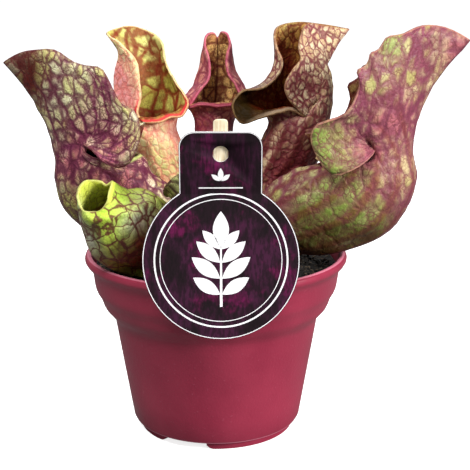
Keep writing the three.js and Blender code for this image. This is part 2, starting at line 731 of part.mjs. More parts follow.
const stickHole = new THREE.BoxGeometry(STICK_WIDTH + 2 * GAP, STICK_DEPTH + 2 * GAP, STICK_HOLE_LENGTH);
stickHole.translate(0, STICK_DEPTH / 2 + GAP, STICK_BOTTOM - GAP + STICK_HOLE_LENGTH / 2);
labelHolder.updateMatrix();
stickHole.applyMatrix4(labelHolder.matrix);

add('pot', makePot(), material(0xa83a58, 0.45));
add('soil', makeSoil(PITCHERS.map((leaf) => leaf.foot), stickHole), material(0x2f2823, 0.95));
add('crown', makeCrown(), material(0x5a3a34, 0.8));
for (const leaf of PITCHERS) {
  add(leaf.name, makePitcher(leaf), material(leaf.color, 0.5));
}
add('label', makeLabel(), material(0x3a1834, 0.4), labelHolder);
add('stick', stickGeometry, material(0xe2d2b0, 0.75), labelHolder);

export default plant;
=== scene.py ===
import math
import random

import bmesh
import bpy
from mathutils import Matrix, Vector, noise


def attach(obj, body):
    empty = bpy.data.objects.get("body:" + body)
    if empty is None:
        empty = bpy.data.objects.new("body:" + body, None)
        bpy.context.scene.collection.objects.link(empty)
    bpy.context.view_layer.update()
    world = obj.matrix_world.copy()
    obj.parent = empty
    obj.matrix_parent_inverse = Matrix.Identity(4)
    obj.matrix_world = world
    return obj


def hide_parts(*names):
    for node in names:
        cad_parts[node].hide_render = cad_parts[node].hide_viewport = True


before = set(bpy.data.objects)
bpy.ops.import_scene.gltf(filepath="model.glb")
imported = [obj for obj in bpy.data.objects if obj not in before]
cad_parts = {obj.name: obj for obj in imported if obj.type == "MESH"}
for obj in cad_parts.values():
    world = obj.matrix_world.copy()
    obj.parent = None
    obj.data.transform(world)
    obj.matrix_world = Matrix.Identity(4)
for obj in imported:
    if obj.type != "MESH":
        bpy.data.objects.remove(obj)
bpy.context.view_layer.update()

# Studio: a camera fitted to the pot's rim, steps and base, in plain white air. The main light
# comes from the right of the camera, with a weaker one from the left and one from above behind.
MM = 0.001
scene = bpy.context.scene
scene.view_settings.view_transform = "Standard"

CAMERA_PLACE = Vector((0, -508.9, 221.4)) * MM
CAMERA_PITCH = 0.253
CAMERA_YAW = 0.0171
FOCAL_PIXELS = 1145.8
PHOTO_PIXELS = 470
SENSOR_MM = 36
NEAR_CLIP = 0.02
ROOM_LIGHT = 0.32
BACKDROP_LIGHT = 1.0


def linear(red, green, blue):
    """A colour as the shader wants it, from its 0 to 255 values on screen."""
    def one(value):
        value = value / 255
        return value / 12.92 if value <= 0.04045 else ((value + 0.055) / 1.055) ** 2.4
    return (one(red), one(green), one(blue), 1)


def new_object(name, mesh):
    piece = bpy.data.objects.new(name, mesh)
    scene.collection.objects.link(piece)
    return piece


camera = new_object("camera", bpy.data.cameras.new("camera"))
camera.data.sensor_width = SENSOR_MM
camera.data.lens = FOCAL_PIXELS / PHOTO_PIXELS * SENSOR_MM
camera.location = CAMERA_PLACE
camera.rotation_euler = (math.pi / 2 - CAMERA_PITCH, 0, -CAMERA_YAW)
camera.data.clip_start = NEAR_CLIP
scene.camera = camera


def area_light(name, place, aim, size, power):
    light = bpy.data.lights.new(name, "AREA")
    light.shape = "DISK"
    light.size = size
    light.energy = power
    lamp = new_object(name, light)
    lamp.location = place
    lamp.rotation_euler = (Vector(aim) - Vector(place)).to_track_quat("-Z", "Y").to_euler()


area_light("key_light", (0.95, -0.6, 0.5), (0, 0, 0.06), 0.4, 17)
area_light("fill_light", (-0.35, -0.6, 1.15), (0, 0, 0.13), 0.5, 12)
area_light("back_light", (-0.1, 0.7, 0.9), (0, 0, 0.12), 0.6, 5)

world = bpy.data.worlds.new("studio")
scene.world = world
world.use_nodes = True
sky = world.node_tree
seen = sky.nodes.new("ShaderNodeLightPath").outputs["Is Camera Ray"]
level = sky.nodes.new("ShaderNodeMapRange")
level.inputs["To Min"].default_value = ROOM_LIGHT
level.inputs["To Max"].default_value = BACKDROP_LIGHT
sky.links.new(seen, level.inputs["Value"])
sky.links.new(level.outputs["Result"], sky.nodes["Background"].inputs["Strength"])
sky.nodes["Background"].inputs["Color"].default_value = (1, 1, 1, 1)

# Floor: a plain white sheet that the pot stands on. It glows to the camera alone, so that it runs on
# into the white behind it, and only a faint shadow at the feet shows.
FLOOR_RADIUS = 6
FLOOR_GREY = (0.2, 0.8)
FLOOR_GLOW = 0.8


def material(name):
    made = bpy.data.materials.new(name)
    made.use_nodes = True
    return made, made.node_tree, made.node_tree.nodes["Principled BSDF"]


def node(tree, kind, inputs=None, **settings):
    """Adds a shader node with its settings and with its inputs' values or links."""
    made = tree.nodes.new(kind)
    for key, value in settings.items():
        setattr(made, key, value)
    for key, value in (inputs or {}).items():
        if isinstance(value, bpy.types.NodeSocket):
            tree.links.new(value, made.inputs[key])
        else:
            made.inputs[key].default_value = value
    return made


def math_node(tree, operation, first, second=0.0):
    return node(tree, "ShaderNodeMath", {0: first, 1: second}, operation=operation).outputs[0]


def mix_colour(tree, factor, first, second, blend="MIX"):
    return node(tree, "ShaderNodeMix", {0: factor, 6: first, 7: second}, data_type="RGBA",
                blend_type=blend, clamp_factor=True).outputs[2]


def ramp(tree, value, low, high, out_low=0.0, out_high=1.0):
    made = node(tree, "ShaderNodeMapRange", {
        "Value": value, "From Min": low, "From Max": high, "To Min": out_low, "To Max": out_high,
    }, interpolation_type="SMOOTHSTEP")
    return made.outputs["Result"]


def noise_node(tree, vector, scale, detail=3.0, roughness=0.5):
    return node(tree, "ShaderNodeTexNoise", {
        "Vector": vector, "Scale": scale, "Detail": detail, "Roughness": roughness,
    })


def bump(tree, shader, height, distance, strength=1.0):
    made = node(tree, "ShaderNodeBump", {"Height": height, "Distance": distance, "Strength": strength})
    tree.links.new(made.outputs["Normal"], shader.inputs["Normal"])


def mesh_from(bm, name, materials, smooth_angle=None):
    """Ends a bmesh as a mesh with its materials, smooth apart from edges sharper than the angle."""
    for face in bm.faces:
        face.smooth = True
    if smooth_angle is not None:
        for edge in bm.edges:
            if len(edge.link_faces) == 2:
                edge.smooth = edge.calc_face_angle(0) < math.radians(smooth_angle)
    mesh = bpy.data.meshes.new(name)
    bm.to_mesh(mesh)
    bm.free()
    for made in materials:
        mesh.materials.append(made)
    return mesh


floor_material, tree, shader = material("white_sheet")
seen = node(tree, "ShaderNodeLightPath").outputs["Is Camera Ray"]
tree.links.new(ramp(tree, seen, 0, 1, *FLOOR_GREY), shader.inputs["Base Color"])
tree.links.new(ramp(tree, seen, 0, 1, 0, FLOOR_GLOW), shader.inputs["Emission Strength"])
shader.inputs["Emission Color"].default_value = (1, 1, 1, 1)
shader.inputs["Roughness"].default_value = 1
shader.inputs["Specular IOR Level"].default_value = 0

floor_bm = bmesh.new()
bmesh.ops.create_circle(floor_bm, cap_ends=True, segments=96, radius=FLOOR_RADIUS)
floor = new_object("floor", mesh_from(floor_bm, "floor", [floor_material]))

# Pot: one moulding of raspberry-red polypropylene, with a rolled rim band, two steps, a tapered
# wall and three low feet, drained through its base. Turned from its profile.
POT_STEPS = 144
FLOOR_UNDERSIDE = 3.2
FLOOR_TOP = 5
CENTRE_FOOT = 9
FOOT_RING = (32.4, 35.7)
FIRST_FOOT_GAP = 246
FOOT_GAP_DEGREES = 31
FOOT_END_DEGREES = 6
FOOT_END_RISE = 2.3
DRAIN_HOLES = 6
DRAIN_RADIUS = 3.5
DRAIN_CIRCLE = 21
DRAIN_MIDDLE = 4
DRAIN_CUT_LENGTH = 10
# Heights in mm of the painted highlights: thin pale lines round the base's lower edge and the rim's top.
HIGHLIGHT_LINES = (3.9, 82.95)
POT_PROFILE = [
    (CENTRE_FOOT, FLOOR_UNDERSIDE),
    (20, FLOOR_UNDERSIDE),
    (FOOT_RING[0], FLOOR_UNDERSIDE),
    (FOOT_RING[1], FLOOR_UNDERSIDE),
    (36.6, FLOOR_UNDERSIDE),
    (38.2, 3.7),
    (39.1, 5.3),
    (40.8, 15.6),
    (46.4, 49.6),
    (46.8, 52.2),
    (47.5, 53.9),
    (49, 55.8),
    (51.4, 58.6),
    (52.1, 60),
    (52.7, 61.8),
    (53.5, 63.9),
    (54.8, 66),
    (55.4, 67.5),
    (55.8, 69.5),
    (56.4, 74.2),
    (56.9, 75.9),
    (57.8, 77.9),
    (59.2, 79),
    (59.9, 80.2),
    (60, 81),
    (59.6, 82.2),
    (58.8, 82.8),
    (58, 83),
    (57.2, 82.8),
    (56.4, 81.6),
    (55.2, 75.4),
    (53.9, 67.9),
    (51.4, 62.7),
    (50.5, 60.2),
    (45.3, 53.3),
    (38, 7),
    (36, FLOOR_TOP),
    (CENTRE_FOOT, FLOOR_TOP),
]


def cut(piece, cutter_bm):
    """Cuts a closed bmesh out of a piece for good."""
    cutter = new_object("cutter", mesh_from(cutter_bm, "cutter", []))
    tool = piece.modifiers.new("cut", "BOOLEAN")
    tool.operation = "DIFFERENCE"
    tool.object = cutter
    tool.solver = "EXACT"
    bpy.context.view_layer.update()
    result = bpy.data.meshes.new_from_object(piece.evaluated_get(bpy.context.evaluated_depsgraph_get()))
    piece.modifiers.clear()
    piece.data = result
    bpy.data.objects.remove(cutter)


def rod(bm, radius, length, segments):
    """Adds a closed upright cylinder round the middle, with its sizes in mm."""
    bmesh.ops.create_cone(bm, cap_ends=True, segments=segments, radius1=radius * MM,
                          radius2=radius * MM, depth=length * MM)


def new_parts(grown, kind):
    """The verts or edges that an extrusion has made."""
    return [part for part in grown["geom"] if isinstance(part, kind)]


pot_material, tree, shader = material("raspberry_plastic")
place = node(tree, "ShaderNodeTexCoord").outputs["Object"]
cloud = noise_node(tree, place, 34, 4).outputs["Fac"]
speckle = noise_node(tree, place, 900, 2).outputs["Fac"]
colour = mix_colour(tree, ramp(tree, cloud, 0.3, 0.7), linear(144, 40, 64), linear(160, 50, 74))
dust = math_node(tree, "MULTIPLY", ramp(tree, speckle, 0.66, 0.76), 0.25)
colour = mix_colour(tree, dust, colour, linear(190, 100, 120))
height = node(tree, "ShaderNodeSeparateXYZ", {"Vector": place}).outputs["Z"]
# Painted highlights: thin pale lines laid round the pot at these heights.
for highlight_height in HIGHLIGHT_LINES:
    off_highlight = math_node(tree, "ABSOLUTE", math_node(tree, "SUBTRACT", height, highlight_height * MM))
    line = ramp(tree, off_highlight, 0.0002, 0.0004, 0.75, 0.0)
    colour = mix_colour(tree, line, colour, linear(214, 130, 150))
tree.links.new(colour, shader.inputs["Base Color"])
tree.links.new(ramp(tree, cloud, 0.2, 0.8, 0.3, 0.42), shader.inputs["Roughness"])
shader.inputs["Specular IOR Level"].default_value = 0.35
bump(tree, shader, math_node(tree, "ADD", speckle, math_node(tree, "MULTIPLY", cloud, 3.0)), 0.00008)

pot_bm = bmesh.new()
profile = [pot_bm.verts.new((radius * MM, 0, height * MM)) for radius, height in POT_PROFILE]
profile_edges = [pot_bm.edges.new(pair) for pair in zip(profile, profile[1:])]
bmesh.ops.spin(pot_bm, geom=profile + profile_edges, axis=(0, 0, 1), cent=(0, 0, 0), angle=2 * math.pi,
               steps=POT_STEPS, use_merge=True)
bmesh.ops.remove_doubles(pot_bm, verts=pot_bm.verts, dist=1e-6)
open_rings = [edge for edge in pot_bm.edges if edge.is_boundary]
bmesh.ops.holes_fill(pot_bm, edges=open_rings, sides=0)
bmesh.ops.recalc_face_normals(pot_bm, faces=pot_bm.faces)


def past_gap(place):
    """How many degrees a place under the pot is from the middle of the nearest gap between feet."""
    turn = math.degrees(math.atan2(place.y, place.x)) - FIRST_FOOT_GAP
    return abs((turn + 60) % 120 - 60)


def foot_face(face):
    """True for the faces under the pot that a foot or the middle disc grows from."""
    middle = face.calc_center_median()
    radius = math.hypot(middle.x, middle.y) / MM
    if face.normal.z > -0.9 or abs(middle.z / MM - FLOOR_UNDERSIDE) > 0.05:
        return False
    if radius < CENTRE_FOOT:
        return True
    return FOOT_RING[0] < radius < FOOT_RING[1] and past_gap(middle) > FOOT_GAP_DEGREES / 2


feet = [face for face in pot_bm.faces if foot_face(face)]
grown = bmesh.ops.extrude_face_region(pot_bm, geom=feet)
bmesh.ops.delete(pot_bm, geom=feet, context="FACES_KEEP_BOUNDARY")
grown_verts = new_parts(grown, bmesh.types.BMVert)
bmesh.ops.translate(pot_bm, verts=grown_verts, vec=(0, 0, -FLOOR_UNDERSIDE * MM))
for vert in grown_verts:
    if vert.co.xy.length > FOOT_RING[0] * MM - 1e-5:
        into_foot = max(0, past_gap(vert.co) - FOOT_GAP_DEGREES / 2) / FOOT_END_DEGREES
        vert.co.z += FOOT_END_RISE * MM * max(0, 1 - into_foot) ** 2
bmesh.ops.recalc_face_normals(pot_bm, faces=pot_bm.faces)
pot = new_object("nursery_pot", mesh_from(pot_bm, "nursery_pot", [pot_material], smooth_angle=28))

for i in range(DRAIN_HOLES):
    turn = math.radians(FIRST_FOOT_GAP + 360 * i / DRAIN_HOLES)
    hole_bm = bmesh.new()
    rod(hole_bm, DRAIN_RADIUS, DRAIN_CUT_LENGTH, 32)
    spot = Vector((DRAIN_CIRCLE * math.cos(turn), DRAIN_CIRCLE * math.sin(turn), DRAIN_MIDDLE)) * MM
    bmesh.ops.translate(hole_bm, verts=hole_bm.verts, vec=spot)
    cut(pot, hole_bm)
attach(pot, "root")
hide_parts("pot")

# Soil: dark milled peat, filled to a few millimetres below the rim. A lumpy surface with loose
# crumbs and pale root fibres lying on it.
SOIL_TOP = 78
SOIL_EDGE = 55
SOIL_CENTRE = 0.4
SOIL_RINGS = 60
SOIL_STEPS = 180
SOIL_SIDE = [(53.5, 67.9), (50.1, 60.2), (45, 53.3), (37.7, 7), (35.4, 5.3)]
CRUMBS = 900
CRUMB_REACH = 54
CRUMB_SIZES = (0.35, 1.15)
FIBRES = 170
FIBRE_REACH = 53
FIBRE_LENGTHS = (1.5, 4.5)
FIBRE_RADII = (0.16, 0.08)

soil_material, tree, shader = material("dark_peat")
place = node(tree, "ShaderNodeTexCoord").outputs["Object"]
grain = node(tree, "ShaderNodeTexVoronoi", {"Vector": place, "Scale": 900.0}).outputs["Color"]
grey = node(tree, "ShaderNodeSeparateColor", {"Color": grain}).outputs["Red"]
lumps = noise_node(tree, place, 240, 5, 0.7).outputs["Fac"]
colour = mix_colour(tree, ramp(tree, lumps, 0.35, 0.7), linear(8, 6, 4), linear(34, 26, 20))
colour = mix_colour(tree, ramp(tree, grey, 0.82, 0.95), colour, linear(92, 76, 58))
tree.links.new(colour, shader.inputs["Base Color"])
shader.inputs["Roughness"].default_value = 0.95
bump(tree, shader, math_node(tree, "ADD", lumps, math_node(tree, "MULTIPLY", grey, 0.4)), 0.0009)

random.seed(4)


def soil_height(x, y):
    """The soil surface in mm at a place in mm."""
    point = Vector((x, y, 0))
    rough = noise.fractal(point * 0.35, 0.8, 2.1, 5)
    low = noise.noise(point * 0.07)
    return SOIL_TOP - 0.9 + 0.55 * rough + 0.7 * low


def grow_ring(bm, ring, radius, height=0):
    """Grows a ring of edges out to a radius and height in mm, and returns the new ring."""
    grown = bmesh.ops.extrude_edge_only(bm, edges=ring)
    for vert in new_parts(grown, bmesh.types.BMVert):
        flat = vert.co.xy.normalized() * (radius * MM)
        vert.co = (flat.x, flat.y, height * MM)
    return new_parts(grown, bmesh.types.BMEdge)


def random_rest(reach, lift):
    """A random place on the soil, within a reach of its middle and lifted off it, both in mm."""
    radius = reach * math.sqrt(random.random())
    turn = random.uniform(0, 2 * math.pi)
    x, y = radius * math.cos(turn), radius * math.sin(turn)
    return Matrix.Translation(Vector((x, y, soil_height(x, y) + lift)) * MM)


soil_bm = bmesh.new()
bmesh.ops.create_circle(soil_bm, cap_ends=False, segments=SOIL_STEPS, radius=SOIL_CENTRE * MM)
ring = list(soil_bm.edges)
for i in range(1, SOIL_RINGS + 1):
    ring = grow_ring(soil_bm, ring, SOIL_CENTRE + (SOIL_EDGE - SOIL_CENTRE) * i / SOIL_RINGS)
for vert in soil_bm.verts:
    vert.co.z = soil_height(vert.co.x / MM, vert.co.y / MM) * MM
for radius, height in SOIL_SIDE:
    ring = grow_ring(soil_bm, ring, radius, height)
bmesh.ops.holes_fill(soil_bm, edges=[edge for edge in soil_bm.edges if edge.is_boundary], sides=0)
bmesh.ops.recalc_face_normals(soil_bm, faces=soil_bm.faces)
soil = new_object("peat", mesh_from(soil_bm, "peat", [soil_material]))
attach(soil, "root")
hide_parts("soil")

crumb_bm = bmesh.new()
for i in range(CRUMBS):
    rest = random_rest(CRUMB_REACH, 0.2)
    size = random.uniform(*CRUMB_SIZES)
    spin = Matrix.Rotation(random.uniform(0, 6), 4, "Z") @ Matrix.Rotation(random.uniform(0, 3), 4, "X")
    squash = Matrix.Diagonal((random.uniform(0.8, 1.5), 1, random.uniform(0.6, 0.9), 1))
    bmesh.ops.create_icosphere(crumb_bm, subdivisions=1, radius=size * MM, matrix=rest @ spin @ squash)
crumbs = new_object("peat_crumbs", mesh_from(crumb_bm, "peat_crumbs", [soil_material], smooth_angle=20))
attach(crumbs, "root")

fibre_material, tree, shader = material("pale_fibre")
place = node(tree, "ShaderNodeTexCoord").outputs["Object"]
tone = noise_node(tree, place, 300, 2).outputs["Fac"]
colour = mix_colour(tree, ramp(tree, tone, 0.35, 0.65), linear(96, 78, 58), linear(168, 146, 112))
tree.links.new(colour, shader.inputs["Base Color"])
shader.inputs["Roughness"].default_value = 0.9
fibre_bm = bmesh.new()
for i in range(FIBRES):
    rest = random_rest(FIBRE_REACH, 0.35)
    lie = Matrix.Rotation(random.uniform(0, 6.3), 4, "Z") @ Matrix.Rotation(1.5708, 4, "X")
    bmesh.ops.create_cone(fibre_bm, cap_ends=True, segments=4, radius1=FIBRE_RADII[0] * MM,
                          radius2=FIBRE_RADII[1] * MM, depth=random.uniform(*FIBRE_LENGTHS) * MM,
                          matrix=rest @ lie)
fibres = new_object("peat_fibres", mesh_from(fibre_bm, "peat_fibres", [fibre_material]))
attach(fibres, "root")

# Pitchers: seven hooded trap leaves. Each is one thin wall, grown as a tube with a wing down its
# front, a rolled lip and a waved hood. Tube rings are (lowest point on the back, point opposite,
# half width), and hood rows (angle round the mouth, crest, margin), all in mm.
FOOT_RADIUS = 3.5
FOOT_BOTTOM = 68
FOOT_TOP = 79
LEAF_WALL = 1.0
LEAF_COLUMNS = 120
SIDE_HOOD_COLUMNS = 44
SOFTENINGS = 12
ROW_LENGTH = 1.6
WING_ANGLE = 6
FAR_SIDE_WIDTH = 0.42
FAR_SIDE_DROP = 0.42
WING_START = 0.2
RIPPLE_START = 84
RIPPLES = ((0.5, 0.16), (0.25, 0.4))
RIB_HEIGHT = 0.22
RIB_START = 0.25
RIB_END = 1.05
STRIPE_END = 1.25
STRIPE_WANDER = 40
LIP_FROM = 105
LIP_FADE = 20
UV_PER_MM = 0.1
TINTS = ("blush", "fresh", "dark", "pale")
LEAF_LAYERS = ("blush", "fresh", "edge", "hood", "dark", "pale", "stripe", "lip")

# A leaf with "middle_y" gives half of its hood, which is mirrored there. A tint begins with its amount
# all over the leaf, and its spots follow as (x, y, z, radius, amount).
# The dark tint is the leaves' own dark red, as at the hood tips. Low on the right pitcher's belly, by the
# rim, its spots are painted shade.
PITCHERS = {
    "pitcher_left": {
        "foot": (-11.4, -0.8),
        "out": (-1, 0),
        "middle_y": 1,
        "wing": 2,
        "ribs": 13,
        "rings": [
            ((-24, 0.5, 81), (-12, 0, 87), 4.5),
            ((-37, 2, 82), (-14, 1.5, 97), 8.5),
            ((-50, 3, 86), (-18, 2, 105.5), 12.5),
            ((-61.5, 3, 93.5), (-22, 2, 112), 15),
            ((-69.5, 2, 103), (-26, 1, 115.5), 16.5),
            ((-72.5, 1, 114.5), (-28.5, 0.5, 118), 17),
            ((-72.5, 0, 127), (-30, 0, 121), 16.5),
        ],
        "rows": [
            (0, (-79, 0, 148), (-93.5, 0, 168.5)),
            (8, (-77, -5, 150), (-86, -5, 173)),
            (15, (-74, -9.5, 152), (-78.5, -10, 175)),
            (21, (-69.5, -13.5, 153), (-68.5, -15, 175.5)),
            (26, (-65, -16, 153), (-61, -18, 171)),
            (31, (-60.5, -18, 152.5), (-55.5, -20, 169.5)),
            (36, (-56.5, -19.5, 151.5), (-48.5, -23, 168.5)),
            (41, (-53, -20.5, 150.5), (-44.5, -24.5, 162)),
            (46, (-51, -20.5, 148.5), (-41, -25, 154.5)),
            (52, (-50, -20, 145.5), (-34, -25.5, 149.5)),
            (58, (-50, -19, 142.5), (-32.5, -26, 140)),
            (64, (-51.5, -18, 140), (-36, -26.5, 130)),
            (70, (-53.5, -17, 137.5), (-42, -26, 126.5)),
            (75, (-55.5, -15.5, 136), (-48.5, -24, 129)),
            (80, (-58, -14.5, 135), (-53, -20, 134)),
            (84, (-59.5, -14, 133.5), (-58.5, -15.5, 135)),
            (90, (-58, -16, 130), (-56.5, -16.5, 131)),
            (98, (-54, -17, 127.5), (-52.5, -17.5, 129)),
            (110, (-47.5, -16.5, 126.5), (-45.5, -17, 127.5)),
            (128, (-39.5, -12, 124.5), (-40.5, -13, 127)),
            (150, (-33.5, -6, 124), (-36.5, -7, 127.5)),
            (180, (-31, 0, 125), (-34.5, -0.5, 128)),
        ],
        "blush": [
            0.05,
            (-58, -14, 128, 14, 0.75), (-70, 0, 124, 10, 0.5), (-60, -14, 112, 18, 0.25),
            (-40, -8, 120, 14, 0.9), (-44, -24, 133, 8, 0.8), (-50, -18, 146, 14, 0.35),
        ],
        "fresh": [
            0,
            (-55, -20, 158, 12, 0.3), (-38, -26, 134, 6, 0.2), (-66, -12, 98, 15, 0.9),
            (-64, -14, 110, 10, 0.7),
        ],
        "pale": [0, (-50, -16, 150, 10, 0.6), (-44, -18, 140, 7, 0.5)],
        "dark": [
            0,
            (-92, -2, 170, 17, 1), (-82, -2, 156, 11, 0.7), (-80, -8, 172, 9, 0.5),
            (-44, -22, 136, 5, 0.2),
        ],
    },
    "pitcher_back_left": {
        "foot": (-8.5, 7.6),
        "out": (-0.45, 0.89),
        "wing": 2.5,
        "ribs": 11,
        "lip_from": 100,
        "rings": [
            ((-12.5, 16.5, 84), (-9, 9.5, 89), 4.2),
            ((-18.5, 25, 92), (-12.5, 14, 102), 6.2),
            ((-24.5, 31.5, 104), (-17, 16.5, 114), 9.2),
            ((-30, 36, 117), (-21, 18.5, 127), 11),
            ((-33.5, 38.5, 130), (-25, 20.5, 137.5), 11.3),
        ],
        "rows": [
            (0, (-28, 42, 162), (-36, 44, 180.5)),
            (20, (-33, 42, 163), (-44.5, 41, 181)),
            (38, (-40, 39, 164), (-51.5, 37, 178)),
            (55, (-46.5, 35, 164), (-44, 30, 174)),
            (72, (-47.5, 33, 157), (-37, 26, 166.5)),
            (90, (-47, 31, 151), (-35.5, 23, 158)),
            (108, (-45.5, 29, 146), (-35, 22, 150)),
            (125, (-42, 26, 142), (-36.5, 20, 143.5)),
            (145, (-36.5, 21.5, 140.5), (-34.5, 19.5, 139.5)),
            (165, (-31, 19, 140.5), (-29.5, 16.8, 138.8)),
            (180, (-26.5, 19, 141), (-25, 16.6, 139.3)),
            (-165, (-22.5, 20, 142), (-21, 17.8, 141)),
            (-145, (-18, 24, 142.5), (-15.5, 22, 141)),
            (-125, (-14.8, 28, 146), (-12.3, 25, 146.5)),
            (-105, (-17, 33, 151), (-14.8, 30, 151.5)),
            (-85, (-20, 36, 155), (-19, 33, 157.5)),
            (-62, (-22.5, 39, 160), (-23.5, 35.5, 166.5)),
            (-38, (-24, 41, 162), (-24.3, 38, 173.5)),
            (-18, (-26, 42, 162), (-28, 41.5, 177.5)),
        ],
        "blush": [
            0,
            (-47, 30, 160, 8, 0.9), (-44, 24, 146, 12, 0.9), (-18, 22, 134, 9, 0.8),
            (-30, 18, 139, 4, 0.5),
        ],
        "fresh": [0, (-24, 20, 124, 10, 0.6), (-36, 44, 180, 14, 0.9), (-26, 40, 172, 8, 0.5)],
        "dark": [0, (-22, 26, 150, 10, 0.45)],
    },
    "pitcher_back": {
        "foot": (0, 11.5),
        "out": (0, 1),
        "wing": 1.5,
        "ribs": 9,
        "lip_from": 95,
        "rings": [
            ((-0.5, 19, 84), (-0.5, 11, 88), 4),
            ((-1, 28, 93), (-1, 15, 100), 5.2),
            ((-1.2, 35.5, 106), (-1.2, 18.5, 112), 7),
            ((-1.2, 40.5, 120), (-1.2, 21, 125), 8.6),
            ((-1, 43, 133), (-0.5, 23.5, 137), 9.2),
        ],
        "rows": [
            (0, (1, 44.5, 163), (1, 43.5, 176)),
            (10, (-2.5, 44.5, 163), (-0.8, 42.5, 178.4)),
            (21, (-6, 44, 163), (-4, 40.5, 178)),
            (33, (-7.5, 42.5, 163.5), (-5.5, 38.5, 174)),
            (48, (-8, 40.5, 161), (-3.6, 35.5, 168)),
            (62, (-8.6, 39, 158.5), (-2.8, 34, 162)),
            (78, (-9.8, 37.5, 155.5), (-3.4, 32, 157.5)),
            (95, (-12.4, 35, 152), (-7.2, 29, 152.5)),
            (115, (-14.6, 31, 149), (-10, 26.5, 148.5)),
            (137, (-13.5, 28, 145), (-12.4, 25.5, 144.5)),
            (160, (-6.5, 23.8, 146.8), (-5.8, 21.6, 146.4)),
            (180, (1, 22.3, 146.8), (1, 20, 145.8)),
            (-160, (7.4, 23.8, 146.8), (7.2, 21.6, 146)),
            (-137, (14, 28, 146.5), (13.6, 25.5, 147.5)),
            (-115, (15, 31.5, 150.5), (11.4, 27, 151.5)),
            (-95, (13.6, 35, 154.5), (9.5, 29.5, 155.5)),
            (-78, (11.4, 37.5, 157.5), (6.4, 32, 159.5)),
            (-62, (10, 39, 160.5), (5.4, 34, 163.5)),
            (-48, (9.4, 40.5, 162.5), (5.8, 35.5, 169)),
            (-33, (9, 42.5, 164.5), (7.4, 38.5, 174.5)),
            (-21, (7.6, 44, 163.5), (6, 40.5, 178.4)),
            (-10, (4.4, 44.5, 163), (2.8, 42.5, 178.8)),
        ],
        "blush": [0.15, (0, 25, 134, 14, 0.7), (0, 24, 120, 16, 0.7)],
        "fresh": [0],
    },
    "pitcher_back_right": {
        "foot": (8.5, 7.6),
        "out": (0.82, 0.57),
        "wing": 2.5,
        "ribs": 12,
        "lip_from": 150,
        "rings": [
            ((16, 14, 84), (9, 9.1, 88.9), 4.2),
            ((26, 21.1, 92.8), (13, 12.4, 102.6), 6.5),
            ((36, 26.5, 103.6), (18, 12, 116.6), 10),
            ((44.5, 28, 117.6), (23, 10.5, 129.6), 13),
            ((49, 27.5, 132.6), (27.5, 9, 140.6), 13.5),
        ],
        "rows": [
            (0, (50, 27.5, 159.6), (62.5, 30.5, 180.6)),
            (18, (46, 30.5, 161.6), (52, 31.5, 182.6)),
            (34, (41, 31.5, 162.6), (40, 30.5, 184.1)),
            (48, (35, 30.5, 163.6), (31, 28, 183.1)),
            (60, (30, 27.5, 164.6), (26.8, 23.5, 180.6)),
            (72, (27, 23.5, 164.1), (27.3, 18.5, 173.6)),
            (84, (25, 20.5, 161.6), (30, 14.5, 168.1)),
            (96, (22.5, 18.5, 158.6), (29, 12.5, 162.6)),
            (110, (17.5, 16.5, 155.6), (22, 10.5, 156.6)),
            (124, (12, 15, 153.1), (11.5, 9.5, 155.1)),
            (136, (10.5, 12, 148.6), (7, 9, 148.1)),
            (148, (15, 9.5, 145.1), (11.5, 8, 139.9)),
            (160, (21, 8, 145.1), (19.5, 6.5, 142.1)),
            (180, (30, 6.5, 146.9), (29.5, 4, 145.4)),
            (-160, (37, 8, 146.6), (36.5, 5.5, 145.1)),
            (-148, (42.5, 10, 146.6), (43.5, 7, 140.6)),
            (-136, (46.5, 10.5, 150.1), (38.5, 5, 145.6)),
            (-122, (48.5, 12, 153.6), (33, 4, 151.6)),
            (-106, (50, 13.5, 157.6), (31.2, 4, 158.1)),
            (-88, (50.5, 15.5, 160.6), (35, 6.5, 164.6)),
            (-70, (50.5, 17.5, 163.6), (38.7, 10, 169.1)),
            (-52, (51, 19.5, 165.6), (38, 15.5, 175.1)),
            (-36, (52, 21.5, 164.6), (41.5, 21, 183.6)),
            (-18, (52, 24.5, 162.6), (51, 26, 182.6)),
        ],
        "blush": [
            0.1,
            (36, 8, 130, 16, 0.7), (34, 8, 112, 16, 0.7), (46, 12, 160, 9, 0.3),
            (26, 26, 168, 12, 0.4),
        ],
        "fresh": [0, (8, 8, 147, 9, 0.3), (34, 30, 188, 7, 0.9), (28, 24, 180, 8, 0.4)],
        "dark": [0, (11, 10, 147, 12, 1), (18, 12, 151, 9, 0.7), (22, 2, 143, 8, 0.8)],
    },
    "pitcher_right": {
        "foot": (11.5, -0.4),
        "out": (1, 0),
        "middle_y": -5,
        "wing": 3,
        "ribs": 13,
        "soft": [(71, -23, 143, 11)],
        "rings": [
            ((24, -1.5, 80.5), (12.5, 0, 87.5), 4.5),
            ((36.5, -3.5, 82), (15, -0.5, 96.5), 8.5),
            ((50, -5.5, 82), (21, -1.5, 105), 12.5),
            ((63.5, -6, 85.5), (27, -3, 113), 16),
            ((77, -6, 92), (33, -4, 117.5), 18.5),
            ((86.5, -6, 105), (38, -4.5, 121), 19),
            ((90, -6, 118), (43, -5, 122.5), 18),
            ((88, -6, 130), (48, -5, 124), 16.5),
        ],
        "rows": [
            (0, (92, -5, 149.5), (111.5, -5, 178.5)),
            (-8, (89, -11, 153), (99.5, -9, 184.5)),
            (-15, (85, -16, 155.5), (88, -15, 185.5)),
            (-21, (80.5, -20, 157.5), (79.5, -20, 182.5)),
            (-26, (77.5, -22.5, 158), (72.5, -23, 181.5)),
            (-31, (74.5, -24, 157), (69, -24, 176.5)),
            (-36, (72.5, -25, 156), (65, -26.5, 175)),
            (-41, (70, -25.5, 154.5), (63.5, -26, 170)),
            (-46, (68, -26, 153), (59.5, -28.5, 168)),
            (-52, (66, -26, 150.5), (60.5, -28, 160)),
